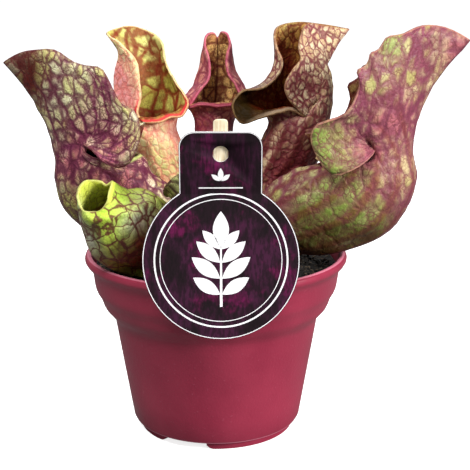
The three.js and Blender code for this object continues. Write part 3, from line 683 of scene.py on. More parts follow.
            (-58, (64.5, -25.5, 148.5), (54, -29.5, 149)),
            (-64, (63.5, -25, 146), (42.5, -28.5, 144.5)),
            (-70, (63, -24, 143), (41, -28.5, 136)),
            (-76, (63.5, -22.5, 140), (50, -29, 123.5)),
            (-81, (65.5, -20, 137.5), (60.5, -28, 126.5)),
            (-86, (67.5, -17.5, 135.5), (68, -23, 131.5)),
            (-90, (69.5, -16, 133.5), (70, -17.5, 134)),
            (-97, (69.5, -18, 130), (68, -18.5, 131)),
            (-108, (65.5, -19.5, 127), (63, -20, 128)),
            (-124, (57.5, -17, 124.5), (55, -18, 125.5)),
            (-147, (50.5, -11, 123.5), (48.5, -12, 125)),
            (180, (46.5, -5, 125), (44.5, -5, 126.5)),
        ],
        "blush": [
            0.2,
            (66, -20, 136, 14, 0.8), (88, -5, 140, 14, 0.4), (106, -5, 176, 12, 0.7),
            (84, -14, 112, 18, 0.3), (76, -18, 150, 12, 0.5),
        ],
        "fresh": [
            0,
            (43, -28, 138, 10, 1), (46, -28, 130, 10, 1), (54, -29, 127, 9, 1),
            (62, -28, 126, 9, 1), (56, -28, 136, 6, 0.7), (46, -18, 100, 18, 1),
            (62, -20, 88, 20, 1), (70, -22, 102, 10, 0.5), (74, -22, 178, 7, 0.8),
            (68, -22, 160, 7, 0.5),
        ],
        # Painted shade: the dark spots low on the belly, where it lies on the rim.
        "dark": [
            0,
            (112, -5, 180, 7, 0.4), (50, -20, 84, 20, 1), (74, -20, 84, 17, 0.85),
            (90, -10, 98, 15, 0.3), (30, -14, 84, 14, 0.6), (70, -15, 134, 3.5, 1),
        ],
    },
    "pitcher_front_left": {
        "foot": (-7.4, -8.8),
        "out": (-0.78, -0.63),
        "wing": 3.5,
        "wing_at": 0,
        "ribs": 11,
        "rings": [
            ((-17, -16.5, 81), (-9, -10.5, 88), 4.5),
            ((-30, -27, 81), (-12, -13.5, 97), 7.5),
            ((-41.5, -34.5, 85.5), (-17, -18.5, 105), 11.5),
            ((-51.5, -39.5, 93), (-23, -23, 111.5), 14),
            ((-55.5, -43, 103.5), (-28.5, -26, 116.5), 13.5),
        ],
        "rows": [
            (0, (-57, -45, 112), (-57.5, -44, 115.5)),
            (30, (-54.5, -50, 110.5), (-55, -48.5, 113.5)),
            (60, (-50, -52, 110.5), (-51.5, -49.5, 113)),
            (90, (-45, -50, 111.5), (-48, -47.5, 113)),
            (118, (-40, -45, 113.5), (-45.5, -44, 115.5)),
            (145, (-37.5, -39, 115.5), (-44.5, -41, 119.5)),
            (165, (-36.5, -33, 117.5), (-43.5, -38, 122)),
            (180, (-37.5, -30, 118), (-43.5, -36, 123)),
            (-160, (-40.5, -28, 118), (-46, -33, 121)),
            (-130, (-45.5, -27, 117), (-48.5, -31, 122)),
            (-100, (-50.5, -28, 116.5), (-52, -31, 122.5)),
            (-70, (-54.5, -32, 116.5), (-55.5, -33, 122.5)),
            (-45, (-57, -37, 116), (-57.5, -37, 121)),
            (-20, (-57.5, -42, 114), (-58.5, -41, 118)),
        ],
        "blush": [
            0,
            (-30, -38, 98, 10, 0.8), (-44, -46, 84, 12, 0.9), (-24, -34, 88, 14, 0.9),
            (-52, -44, 84, 8, 0.6),
        ],
        "fresh": [0.2, (-46, -50, 106, 11, 0.9)],
        "pale": [
            0,
            (-57, -42, 110, 6, 1), (-56, -43, 102, 6, 1), (-52, -41, 94, 6, 0.8),
            (-28, -44, 108, 9, 0.75), (-36, -48, 106, 6, 0.4),
        ],
        "dark": [0, (-27, -36, 90, 9, 0.5), (-36, -44, 80, 9, 0.5)],
    },
    "pitcher_centre": {
        "foot": (1, -11.5),
        "out": (-0.1, -0.99),
        "wing": 1.5,
        "ribs": 9,
        "rings": [
            ((0, -21.5, 82), (0.5, -12.5, 89), 4.5),
            ((-3, -29, 86), (-2, -14.5, 99), 7),
            ((-5.5, -35, 93), (-4.5, -17, 107), 9),
            ((-7, -38, 103), (-6.5, -21, 112), 9.2),
        ],
        "rows": [
            (0, (-8.5, -39.5, 114), (-9.5, -41, 126)),
            (30, (-3, -39, 114), (-2, -41, 127)),
            (60, (2, -36, 114.5), (4, -38, 123)),
            (90, (4.5, -31, 114.5), (7, -32, 118)),
            (120, (3.5, -25.5, 113.5), (5.5, -25, 113)),
            (150, (-1, -20.5, 114), (-0.5, -18, 113)),
            (180, (-7, -19, 115), (-7, -16.5, 114)),
            (-150, (-13, -21, 114.5), (-14, -18.5, 113.5)),
            (-120, (-18, -26, 114), (-20.5, -25.5, 113.5)),
            (-90, (-19.5, -31.5, 114.5), (-22.5, -32.5, 117)),
            (-60, (-17.5, -36, 114.5), (-20.5, -37.5, 122)),
            (-30, (-13.5, -39, 114), (-15.5, -41, 126.5)),
        ],
        "blush": [0.05, (-8, -30, 95, 12, 0.5)],
        "fresh": [0.1],
    },
}


def cubic(keys, spans, k, part):
    """A point between keys k and k + 1 of a smooth line through all the keys."""
    def slope(a, b, c, left, right):
        return ((b - a) * (right / left) + (c - b) * (left / right)) / (left + right)
    start, end, middle = keys[k], keys[k + 1], spans[k]
    chord = (end - start) / middle
    leave = arrive = None
    if k > 0:
        leave = slope(keys[k - 1], start, end, spans[k - 1], middle)
    if k + 2 < len(keys):
        arrive = slope(start, end, keys[k + 2], middle, spans[k + 1])
    if leave is None:
        leave = chord * 1.5 - arrive * 0.5
    if arrive is None:
        arrive = chord * 1.5 - leave * 0.5
    square, cube = part ** 2, part ** 3
    return (start * (2 * cube - 3 * square + 1) + leave * ((cube - 2 * square + part) * middle)
            + end * (3 * square - 2 * cube) + arrive * ((cube - square) * middle))


def around(rows, angle):
    """A point of a closed curve, given as (angle, point) rows, at any angle."""
    count = len(rows)
    angle %= 360
    i = max(k for k in range(count) if rows[k][0] <= angle)
    near = [rows[(i + k) % count] for k in (-1, 0, 1, 2)]
    angles = [row[0] + 360 * ((i + k) // count) for row, k in zip(near, (-1, 0, 1, 2))]
    spans = [b - a for a, b in zip(angles, angles[1:])]
    return cubic([row[1] for row in near], spans, 1, (angle - angles[1]) / spans[1])


def ring_point(back, front, half, angle):
    back, front = Vector(back), Vector(front)
    reach = (back - front) / 2
    across = Vector((-reach.y, reach.x, 0)).normalized()
    turn = math.radians(angle)
    return (back + front) / 2 + reach * math.cos(turn) + across * (half * math.sin(turn))


def mirror_rows(rows, middle_y):
    """Adds the far half of a hood: narrower than the near half, and lower."""
    def flip(point):
        x, y, z = point
        off = y - middle_y
        drop = FAR_SIDE_DROP * abs(off) if z > 140 else 0
        return (x, y - (1 + FAR_SIDE_WIDTH) * off, z - drop)
    return rows + [(-angle, flip(crest), flip(margin)) for angle, crest, margin in rows
                   if 0 < abs(angle) < 180]


def leaf_keys(leaf, angle, crest, margin):
    """The points that one line up the leaf passes through, from its foot to its margin."""
    x, y = leaf["foot"]
    out = Vector(leaf["out"]) * FOOT_RADIUS
    feet = [((x + out.x, y + out.y, z), (x - out.x, y - out.y, z), FOOT_RADIUS)
            for z in (FOOT_BOTTOM, FOOT_TOP)]
    rings = [ring_point(back, front, half, angle) for back, front, half in feet + leaf["rings"]]
    return rings + [around(crest, angle), around(margin, angle)]


def column_angle(column, hood_columns):
    """The angle of a column, from -180 over 0 at the back to 180."""
    half = LEAF_COLUMNS // 2
    off = column - half
    if abs(off) <= hood_columns:
        return 90 * off / hood_columns
    return math.copysign(90 + 90 * (abs(off) - hood_columns) / (half - hood_columns), off)


def clamp(value):
    return min(1, max(0, value))


def skin_points(leaf, crest, margin, steps, hood_columns):
    """The skin's points in mm, by column and row."""
    skin = {}
    for column in range(LEAF_COLUMNS + 1):
        keys = leaf_keys(leaf, column_angle(column, hood_columns), crest, margin)
        spans = [max(0.01, (b - a).length) for a, b in zip(keys, keys[1:])]
        skin[column, 0] = keys[0]
        row = 0
        for k, count in enumerate(steps):
            for step in range(1, count + 1):
                row += 1
                if k == 0:
                    skin[column, row] = keys[0].lerp(keys[1], step / count)
                else:
                    skin[column, row] = cubic(keys, spans, k, step / count)
    return skin


def skin_lengths(skin, top):
    """How far each point is from the middle column, and how far up from the foot, in mm."""
    centre = LEAF_COLUMNS // 2
    across, up = {}, {}
    for row in range(top + 1):
        across[centre, row] = 0.0
        for side in (1, -1):
            for off in range(1, centre + 1):
                column = centre + side * off
                step = (skin[column, row] - skin[column - side, row]).length
                across[column, row] = across[column - side, row] + side * step
    for column in range(LEAF_COLUMNS + 1):
        up[column, 0] = 0.0
        for row in range(1, top + 1):
            step = (skin[column, row] - skin[column, row - 1]).length
            up[column, row] = up[column, row - 1] + step
    return across, up


def skin_normal(skin, column, row, top):
    """The way out of the skin at one of its points, from the points beside it."""
    sideways = skin[(column + 1) % LEAF_COLUMNS, row] - skin[(column - 1) % LEAF_COLUMNS, row]
    upwards = skin[column, min(row + 1, top)] - skin[column, max(row - 1, 0)]
    return sideways.cross(upwards).normalized()


def skin_lift(leaf, angle, part, point):
    """How far the wing, ripples and ribs lift a point in mm, where part is its share of the tube."""
    turned = abs(angle - leaf.get("wing_at", 180)) % 360
    off_wing = min(turned, 360 - turned) / WING_ANGLE
    wing = leaf["wing"] * math.sin(math.pi * part) if WING_START < part < 1 else 0
    wing *= math.exp(-off_wing * off_wing) * clamp((part - WING_START) * 5)
    ripple = sum(height * noise.noise(point * waves) for height, waves in RIPPLES)
    ripple *= clamp((point.z - RIPPLE_START) / 10)
    rib = RIB_HEIGHT * math.cos(math.radians(angle * leaf["ribs"])) * clamp((part - RIB_START) * 3)
    rib *= clamp((RIB_END - part) * 5)
    return wing + ripple + rib


def stripe_amount(leaf, angle, part, point):
    """How strong the stripes between the ribs are. They wander a little and fade out at both ends."""
    wander = STRIPE_WANDER * noise.noise(point * 0.06)
    ribbing = 0.5 + 0.5 * math.cos(math.radians(angle * leaf["ribs"] + wander))
    return ribbing ** 1.5 * clamp((STRIPE_END - part) * 4) * clamp(part * 4)


def tint_amount(tint, point):
    """How strong a tint is at a point: its amount all over, and what its spots add there."""
    amount = tint[0]
    for x, y, z, radius, strength in tint[1:]:
        amount += strength * math.exp(-((point - Vector((x, y, z))).length / radius) ** 2)
    return clamp(amount)


def grow_pitcher(leaf):
    """The leaf's outer skin as a bmesh, with a UV map in cm and its attributes."""
    rows = leaf["rows"]
    hood_columns = LEAF_COLUMNS // 4
    if "middle_y" in leaf:
        rows = mirror_rows(rows, leaf["middle_y"])
        hood_columns = SIDE_HOOD_COLUMNS
    rows = sorted((angle % 360, Vector(crest), Vector(margin)) for angle, crest, margin in rows)
    crest = [(angle, point) for angle, point, _ in rows]
    margin = [(angle, point) for angle, _, point in rows]
    lines = [leaf_keys(leaf, angle, crest, margin) for angle in range(0, 360, 15)]
    steps = []
    for k in range(len(lines[0]) - 1):
        mean = sum((line[k + 1] - line[k]).length for line in lines) / len(lines)
        steps.append(max(3, round(mean / ROW_LENGTH)))
    top = sum(steps)
    tube_top = sum(steps[:len(leaf["rings"]) + 1])
    skin = skin_points(leaf, crest, margin, steps, hood_columns)
    across, up = skin_lengths(skin, top)

    bm = bmesh.new()
    uv = bm.loops.layers.uv.new("leaf")
    layers = {layer: bm.verts.layers.float.new(layer) for layer in LEAF_LAYERS}
    bmesh.ops.create_grid(bm, x_segments=LEAF_COLUMNS, y_segments=top, size=1, calc_uvs=False)
    place_of = {}
    for vert in bm.verts:
        column = round((vert.co.x + 1) / 2 * LEAF_COLUMNS)
        place_of[vert] = (column, round((vert.co.y + 1) / 2 * top))
    for vert, (column, row) in place_of.items():
        angle = column_angle(column, hood_columns)
        point = skin[column, row]
        part = row / tube_top
        lift = skin_lift(leaf, angle, part, point)
        vert.co = (point + skin_normal(skin, column, row, top) * lift) * MM
        vert[layers["edge"]] = up[column, top] - up[column, row]
        vert[layers["hood"]] = clamp((row - tube_top) / (top - tube_top))
        vert[layers["stripe"]] = stripe_amount(leaf, angle, part, point)
        vert[layers["lip"]] = clamp((abs(angle) - leaf.get("lip_from", LIP_FROM)) / LIP_FADE)
        for tint in TINTS:
            vert[layers[tint]] = tint_amount(leaf.get(tint, [0]), point)
    for x, y, z, radius in leaf.get("soft", []):
        middle = Vector((x, y, z))
        near = [vert for vert in bm.verts
                if (vert.co / MM - middle).length < radius and vert[layers["edge"]] > 3]
        for _ in range(SOFTENINGS):
            bmesh.ops.smooth_vert(bm, verts=near, factor=0.5, use_axis_x=True, use_axis_y=True,
                                  use_axis_z=True)
    for face in bm.faces:
        for loop in face.loops:
            place = place_of[loop.vert]
            loop[uv].uv = (across[place] * UV_PER_MM, up[place] * UV_PER_MM)
    bmesh.ops.remove_doubles(bm, verts=bm.verts, dist=1e-6)
    foot_edges = [edge for edge in bm.edges
                  if edge.is_boundary and edge.verts[0].co.z < (FOOT_BOTTOM + 1) * MM]
    bmesh.ops.holes_fill(bm, edges=foot_edges, sides=0)
    return bm


def leaf_net():
    """A leaf's veins at three sizes: broad soft ones that run along it, the mesh of cells between
    them, and a finer broken mesh inside the cells."""
    group = bpy.data.node_groups.new("leaf_net", "ShaderNodeTree")
    face = group.interface
    for name in ("Along", "Place"):
        face.new_socket(name, in_out="INPUT", socket_type="NodeSocketVector")
    for name, value in (("Cell", 0.5), ("Ratio", 3.0), ("Width", 0.12), ("Seed", 0.0)):
        face.new_socket(name, in_out="INPUT", socket_type="NodeSocketFloat").default_value = value
    for name in ("Broad", "Core", "Mesh", "Glow", "Fine", "Tone", "Puff"):
        face.new_socket(name, in_out="OUTPUT", socket_type="NodeSocketFloat")
    start = group.nodes.new("NodeGroupInput")
    end = group.nodes.new("NodeGroupOutput")

    def times(first, second):
        return math_node(group, "MULTIPLY", first, second)

    def vector(operation, first, second):
        return node(group, "ShaderNodeVectorMath", {0: first, 1: second}, operation=operation).outputs[0]

    def scaled(first, scale):
        return node(group, "ShaderNodeVectorMath", {0: first, 3: scale}, operation="SCALE").outputs[0]

    def wavering(place, scale, detail, amount):
        wander = noise_node(group, place, scale, detail).outputs["Color"]
        return vector("ADD", place, scaled(vector("SUBTRACT", wander, (0.5, 0.5, 0.5)), amount))

    def to_edge(place, randomness, dimensions):
        return node(group, "ShaderNodeTexVoronoi", {"Vector": place, "Scale": 1.0, "Randomness": randomness},
                    voronoi_dimensions=dimensions, feature="DISTANCE_TO_EDGE").outputs["Distance"]

    shift = node(group, "ShaderNodeCombineXYZ", {
        "X": start.outputs["Seed"], "Y": times(start.outputs["Seed"], 1.7),
    }).outputs[0]
    per_cell = math_node(group, "DIVIDE", 1.0, start.outputs["Cell"])
    broad = vector("ADD", vector("MULTIPLY", scaled(start.outputs["Along"], per_cell), (0.5, 0.2, 0)), shift)
    broad = to_edge(wavering(wavering(broad, 0.7, 1.0, 0.7), 2.5, 2.0, 0.3), 0.85, "2D")
    cells = vector("MULTIPLY", scaled(start.outputs["Place"], per_cell), (100, 100, 85))
    cells = wavering(vector("ADD", cells, shift), 0.9, 3.0, 0.8)
    edge = to_edge(cells, 0.8, "3D")
    tone = node(group, "ShaderNodeTexVoronoi", {"Vector": cells, "Scale": 1.0, "Randomness": 0.8},
                voronoi_dimensions="3D", feature="F1").outputs["Color"]
    fine = scaled(vector("ADD", cells, (3.7, 1.9, 0)), start.outputs["Ratio"])
    fine = to_edge(wavering(fine, 1.1, 2.0, 0.7), 0.9, "3D")
    thick = ramp(group, noise_node(group, cells, 0.45, 3.0).outputs["Fac"], 0.35, 0.65, 0.5, 1.6)
    width = times(start.outputs["Width"], thick)
    over = math_node(group, "DIVIDE", edge, width)
    core = math_node(group, "DIVIDE", broad, width)
    broken = ramp(group, noise_node(group, cells, 1.3, 3.0).outputs["Fac"], 0.4, 0.58, 0.25, 1.0)
    links = group.links
    links.new(ramp(group, broad, 0.0, 0.2, 1.0, 0.0), end.inputs["Broad"])
    links.new(ramp(group, core, 0.1, 0.6, 1.0, 0.0), end.inputs["Core"])
    links.new(ramp(group, over, 0.2, 1.3, 1.0, 0.0), end.inputs["Mesh"])
    links.new(times(ramp(group, edge, 0.0, 0.3, 1.0, 0.0), thick), end.inputs["Glow"])
    links.new(times(ramp(group, fine, 0.02, 0.12, 1.0, 0.0), broken), end.inputs["Fine"])
    links.new(node(group, "ShaderNodeSeparateColor", {"Color": tone}).outputs["Red"], end.inputs["Tone"])
    puff = times(ramp(group, fine, 0.0, 0.3), 0.3)
    puff = math_node(group, "ADD", puff, times(ramp(group, broad, 0.0, 0.3), 0.8))
    links.new(math_node(group, "ADD", ramp(group, edge, 0.0, 0.25), puff), end.inputs["Puff"])
    return group


NET = leaf_net()


def attribute(tree, name):
    return node(tree, "ShaderNodeAttribute", attribute_name=name).outputs["Fac"]


def leaf_material(name, look):
    """Leaf skin: cells of two tones under a net of veins, with tints where the leaf has them."""
    made, tree, shader = material(name)
    place = node(tree, "ShaderNodeUVMap", uv_map="leaf").outputs["UV"]
    solid_place = node(tree, "ShaderNodeTexCoord").outputs["Object"]
    net = node(tree, "ShaderNodeGroup", node_tree=NET)
    tree.links.new(place, net.inputs["Along"])
    tree.links.new(solid_place, net.inputs["Place"])
    for key in ("Cell", "Ratio", "Width", "Seed"):
        net.inputs[key].default_value = look[key]
    patches = noise_node(tree, solid_place, 75, 4, 0.6).outputs["Fac"]
    mottle = noise_node(tree, solid_place, 650, 4, 0.65).outputs["Fac"]

    def times(first, second):
        return math_node(tree, "MULTIPLY", first, second)

    def lay(skin, colour, amount):
        """Lays one of the look's colours over the skin."""
        return mix_colour(tree, amount, skin, look[colour])

    def tint(skin, mark, low=0.5, high=1.25):
        """Lays a tint over the skin where the leaf's attribute of that name is high."""
        return lay(skin, mark, times(attribute(tree, mark), ramp(tree, patches, 0.3, 0.65, low, high)))

    tone = math_node(tree, "ADD", times(net.outputs["Tone"], 0.45), times(patches, 0.55))
    skin = mix_colour(tree, ramp(tree, tone, 0.25, 0.7), look["cell"], look["cell_deep"])
    skin = tint(tint(tint(skin, "fresh"), "pale"), "blush")
    calm = ramp(tree, attribute(tree, "fresh"), 0.0, 1.0, 1.0, 0.12)
    flush = math_node(tree, "ADD", ramp(tree, patches, 0.3, 0.65, 0.45, 1.1),
                      times(attribute(tree, "blush"), 0.5))
    skin = lay(skin, "vein_soft", times(times(net.outputs["Glow"], flush), times(calm, look["glow"])))
    skin = lay(skin, "broad_vein", times(times(net.outputs["Broad"], flush), times(calm, look["broad"])))
    skin = lay(skin, "stripe", ramp(tree, attribute(tree, "stripe"), 0.2, 0.95, 0.0, look["stripe_strength"]))
    skin = lay(skin, "fine", times(net.outputs["Fine"], look["fine_strength"]))
    skin = lay(skin, "vein", times(net.outputs["Mesh"], look["mesh"]))
    skin = lay(skin, "vein", times(net.outputs["Core"], look["core"]))
    # The dark tint is real dark red at the tips, and painted shade low on the right pitcher's belly.
    skin = tint(skin, "dark", 0.7, 1.0)
    # Painted shade: the inside of the tube takes the throat colour, which fades out up into the hood.
    if "throat" in look:
        skin = lay(skin, "throat", ramp(tree, attribute(tree, "hood"), *look["throat_reach"], 1.0, 0.0))
    if "midrib" in look:
        across = node(tree, "ShaderNodeSeparateXYZ", {"Vector": place}).outputs["X"]
        skin = lay(skin, "midrib", ramp(tree, math_node(tree, "ABSOLUTE", across), 0.02, 0.07, 0.8, 0.0))
    to_edge = attribute(tree, "edge")
    skin = lay(skin, "lip", times(attribute(tree, "lip"), ramp(tree, to_edge, 1.2, 2.6, 1.0, 0.0)))
    skin = lay(skin, "edge", times(ramp(tree, to_edge, 0.2, 0.8, 1.0, 0.0), look["edge_strength"]))
    # Painted shade: where the skin is seen edge on, it darkens towards the vein colour, so it changes with
    # the view.
    edge_on = ramp(tree, node(tree, "ShaderNodeLayerWeight", {"Blend": 0.5}).outputs["Facing"], 0.55, 0.95)
    skin = lay(skin, "vein", times(edge_on, look["edge_on"]))
    grain = mix_colour(tree, ramp(tree, mottle, 0.25, 0.75), (0.1, 0.1, 0.1, 1), (0.9, 0.9, 0.9, 1))
    skin = mix_colour(tree, 0.25, skin, grain, "OVERLAY")
    tree.links.new(skin, shader.inputs["Base Color"])
    tree.links.new(ramp(tree, mottle, 0.2, 0.8, 0.4, 0.54), shader.inputs["Roughness"])
    shader.inputs["Specular IOR Level"].default_value = look["gloss"]
    bump(tree, shader, math_node(tree, "ADD", net.outputs["Puff"], times(mottle, 0.35)), 0.0004, 0.6)
    return made


def like(base, **changes):
    """A look like another one, with some of its values changed."""
    return {**base, **changes}


# A look's edge-on value sets how strong the painted shade is where its skin is seen edge on.
MAUVE_NET = {
    "Cell": 0.55, "Ratio": 3.4, "Width": 0.13, "Seed": 0.0,
    "cell": linear(252, 246, 180), "cell_deep": linear(210, 214, 110),
    "blush": linear(206, 120, 128), "fresh": linear(166, 200, 74), "pale": linear(216, 222, 190),
    "dark": linear(92, 26, 18), "fine": linear(88, 36, 34), "fine_strength": 0.8,
    "vein": linear(98, 34, 60), "vein_soft": linear(164, 84, 110), "broad_vein": linear(134, 58, 90),
    "glow": 0.45, "broad": 0.9, "mesh": 0.7, "core": 0.35, "edge_on": 0.6,
    "stripe": linear(132, 64, 68), "stripe_strength": 0.4,
    "lip": linear(196, 204, 120), "edge": linear(110, 50, 56), "edge_strength": 0.6, "gloss": 0.22,
}
PINK_NET = like(
    MAUVE_NET, Cell=0.62, Ratio=3.0, Width=0.2, cell=linear(226, 214, 158), cell_deep=linear(186, 184, 104),
    blush=linear(172, 96, 104), fine=linear(132, 70, 72), fine_strength=0.75, vein=linear(140, 66, 86),
    vein_soft=linear(156, 92, 102), broad_vein=linear(134, 68, 80), glow=0.65, broad=0.8, mesh=0.3,
    core=0.1, stripe=linear(122, 50, 40), stripe_strength=0.9,
)
# The inside look, with painted shade laid over the inside of the tube.
THROAT = like(
    MAUVE_NET, cell=linear(150, 128, 62), cell_deep=linear(120, 96, 44), vein=linear(84, 22, 26),
    vein_soft=linear(116, 50, 44), broad_vein=linear(96, 34, 34), throat=linear(34, 10, 12),
    throat_reach=(0.0, 0.45), stripe_strength=0.0, edge_on=0.0, gloss=0.08,
)
LOOKS = {
    "pitcher_left": (
        like(MAUVE_NET, Seed=1.0, Cell=0.5, cell=linear(255, 252, 206), cell_deep=linear(232, 230, 142),
             broad=0.85, mesh=0.75),
        like(THROAT, Seed=2.0),
    ),
    "pitcher_back_left": (
        like(MAUVE_NET, Seed=3.0, Cell=0.32, Ratio=2.5, Width=0.1, cell=linear(255, 244, 184),
             cell_deep=linear(246, 236, 160), blush=linear(255, 164, 168), fresh=linear(196, 208, 92),
             vein=linear(226, 104, 104), vein_soft=linear(246, 166, 146), broad_vein=linear(240, 136, 124),
             glow=0.3, broad=0.3, mesh=0.45, core=0.2, fine=linear(236, 170, 124), fine_strength=0.3,
             stripe=linear(240, 136, 118), stripe_strength=0.3, lip=linear(206, 48, 58),
             edge=linear(250, 222, 160), edge_on=0.15),
        like(THROAT, Seed=4.0, Cell=0.8, Ratio=4.0, Width=0.12, cell=linear(216, 218, 112),
             cell_deep=linear(184, 184, 80), fresh=linear(236, 234, 146), blush=linear(206, 128, 92),
             vein=linear(130, 28, 24), vein_soft=linear(200, 166, 92), broad_vein=linear(170, 90, 50),
             glow=0.3, broad=0.15, mesh=0.85, core=0.5, fine=linear(126, 96, 44), fine_strength=0.5,
             dark=linear(146, 28, 24), lip=linear(230, 66, 68), edge=linear(250, 218, 156),
             throat=linear(130, 20, 20), throat_reach=(0.0, 0.3)),
    ),
    "pitcher_back": (
        like(PINK_NET, Seed=5.0, Cell=0.4, Width=0.12, cell=linear(240, 170, 154),
             cell_deep=linear(210, 128, 114), blush=linear(160, 76, 74), vein=linear(124, 36, 60),
             vein_soft=linear(176, 78, 100), broad_vein=linear(150, 60, 84), stripe=linear(96, 30, 38),
             stripe_strength=0.5, glow=0.5, mesh=0.6, lip=linear(170, 66, 86), edge=linear(220, 108, 130)),
        like(THROAT, Seed=6.0, Cell=0.42, Width=0.1, cell=linear(244, 206, 122),
             cell_deep=linear(210, 160, 90), blush=linear(206, 98, 116), vein=linear(90, 20, 26),
             vein_soft=linear(150, 76, 56), broad_vein=linear(100, 30, 30), broad=0.4,
             lip=linear(160, 62, 82), edge=linear(226, 120, 136), midrib=linear(70, 22, 20),
             throat_reach=(0.0, 0.1)),
    ),
    "pitcher_back_right": (
        like(PINK_NET, Seed=7.0, Cell=0.34, Ratio=2.4, Width=0.12, cell=linear(250, 236, 190),
             cell_deep=linear(222, 196, 146), blush=linear(160, 76, 72), fresh=linear(100, 108, 30),
             vein=linear(116, 40, 50), vein_soft=linear(160, 90, 94), broad_vein=linear(140, 66, 80),
             glow=0.45, broad=0.55, mesh=0.8, fine_strength=0.5, stripe=linear(112, 44, 44),
             lip=linear(180, 150, 120), edge=linear(176, 136, 92), edge_strength=0.5,
             dark=linear(44, 30, 6)),
        like(THROAT, Seed=8.0, Cell=0.42, Width=0.12, cell=linear(190, 140, 64),
             cell_deep=linear(150, 92, 44), blush=linear(160, 26, 22), fresh=linear(216, 214, 122),
             vein=linear(90, 14, 14), vein_soft=linear(130, 44, 34), broad_vein=linear(110, 22, 20),
             broad=0.5, lip=linear(176, 150, 122), edge=linear(176, 140, 90), edge_strength=0.4,
             dark=linear(44, 30, 6), throat=linear(120, 8, 8), throat_reach=(0.0, 0.55)),
    ),
    "pitcher_right": (
        like(PINK_NET, Seed=9.0, cell=linear(222, 210, 156), cell_deep=linear(176, 174, 98),
             fresh=linear(114, 172, 50), dark=linear(62, 36, 8), vein=linear(120, 52, 72),
             vein_soft=linear(148, 82, 96), broad_vein=linear(124, 60, 78), mesh=0.45,
             fine=linear(116, 58, 58), stripe_strength=0.7, edge=linear(190, 130, 112)),
        like(THROAT, Seed=10.0),
    ),
    "pitcher_front_left": (
        like(MAUVE_NET, Seed=11.0, Cell=0.6, Ratio=3.5, Width=0.07, cell=linear(200, 216, 96),
             cell_deep=linear(164, 194, 60), blush=linear(120, 40, 26), fresh=linear(184, 218, 56),
             vein=linear(96, 38, 38), vein_soft=linear(126, 78, 56), broad_vein=linear(112, 50, 46),
             glow=0.3, broad=0.3, mesh=0.9, core=0.5, fine=linear(90, 90, 40), fine_strength=0.5,
             stripe_strength=0.1, lip=linear(212, 220, 88), edge=linear(226, 222, 136), edge_on=0.15),
        like(THROAT, Seed=12.0, Cell=0.3, Width=0.06, cell=linear(240, 246, 100),
             cell_deep=linear(226, 236, 84), vein=linear(136, 134, 44), vein_soft=linear(206, 210, 76),
             broad_vein=linear(190, 196, 66), glow=0.3, broad=0.2, mesh=0.5, core=0.0,
             fine_strength=0.1, lip=linear(220, 228, 92), edge=linear(230, 230, 124),
             throat=linear(140, 110, 44), throat_reach=(0.0, 0.12)),
    ),
    "pitcher_centre": (
        like(MAUVE_NET, Seed=13.0, Width=0.09, cell=linear(206, 212, 136), cell_deep=linear(164, 174, 90),
             vein=linear(64, 34, 34), vein_soft=linear(110, 80, 60), glow=0.3, broad=0.3),
        like(THROAT, Seed=14.0, cell=linear(160, 160, 80), throat_reach=(0.0, 0.6)),
    ),
}

for name, leaf in PITCHERS.items():
    outside, inside = LOOKS[name]
    skins = [leaf_material(name + "_outside", outside), leaf_material(name + "_inside", inside)]
    mesh = mesh_from(grow_pitcher(leaf), name + "_leaf", skins)
    piece = new_object(name + "_leaf", mesh)
    wall = piece.modifiers.new("wall", "SOLIDIFY")
    wall.thickness = LEAF_WALL * MM
    wall.offset = -1
    wall.material_offset = 1
    wall.material_offset_rim = 0
    wall.use_quality_normals = True
    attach(piece, "root")
    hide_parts(name)

# Crown: the top of the short rhizome that all the leaves grow from, a knob of old leaf bases.
CROWN_RADIUS = 6.2
CROWN_LENGTH = 10
CROWN_MIDDLE = 73.2
CROWN_STEPS = ((0.8, 0.9), (1.2, 0.9), (1.6, 0.6), (1.4, 0.3))
KNOB_START = 78
KNOB_LUMPS = 0.35

crown_material, tree, shader = material("brown_rhizome")
place = node(tree, "ShaderNodeTexCoord").outputs["Object"]
streaks = noise_node(tree, place, 260, 4, 0.6).outputs["Fac"]
colour = mix_colour(tree, ramp(tree, streaks, 0.3, 0.7), linear(70, 38, 32), linear(132, 84, 58))
tree.links.new(colour, shader.inputs["Base Color"])
shader.inputs["Roughness"].default_value = 0.75
bump(tree, shader, streaks, 0.0006)
crown_bm = bmesh.new()
rod(crown_bm, CROWN_RADIUS, CROWN_LENGTH, 48)
bmesh.ops.translate(crown_bm, verts=crown_bm.verts, vec=(0, 0, CROWN_MIDDLE * MM))
top = [face for face in crown_bm.faces if face.normal.z > 0.9]
for inset, rise in CROWN_STEPS:
    bmesh.ops.inset_region(crown_bm, faces=top, thickness=inset * MM, depth=0)
    bmesh.ops.translate(crown_bm, verts=list({vert for face in top for vert in face.verts}),
                        vec=(0, 0, rise * MM))
for vert in crown_bm.verts:
    if vert.co.z > KNOB_START * MM:
        vert.co.z += KNOB_LUMPS * MM * noise.noise(vert.co * 420)
crown = new_object("rhizome_crown", mesh_from(crown_bm, "rhizome_crown", [crown_material], smooth_angle=50))
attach(crown, "root")
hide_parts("crown")

# Label: a printed sheet of stiff plastic with a white core, die cut as a tab with a hole over a
# round disc, and creased where the two meet. The print on it is a plain sprig inside a ring.
LABEL_X = 2
LABEL_THICKNESS = 0.7
TAB_WIDTH = 34
TAB_HEIGHT = 26
TAB_CORNER = 6.5
DISC_RADIUS = 32.2
LABEL_HOLE_RADIUS = 3.3
LABEL_HOLE_DROP = 9.2
PUNCH_LENGTH = 5
CREASE_HEIGHT = 120.5
CREASE_Y = -50.6
CREASE_CUTS = (0.9, 0.0, -0.9)
DISC_BEND = 15.5
TAB_LEAN = -4
DISC_DROP = math.sqrt(DISC_RADIUS ** 2 - (TAB_WIDTH / 2) ** 2)

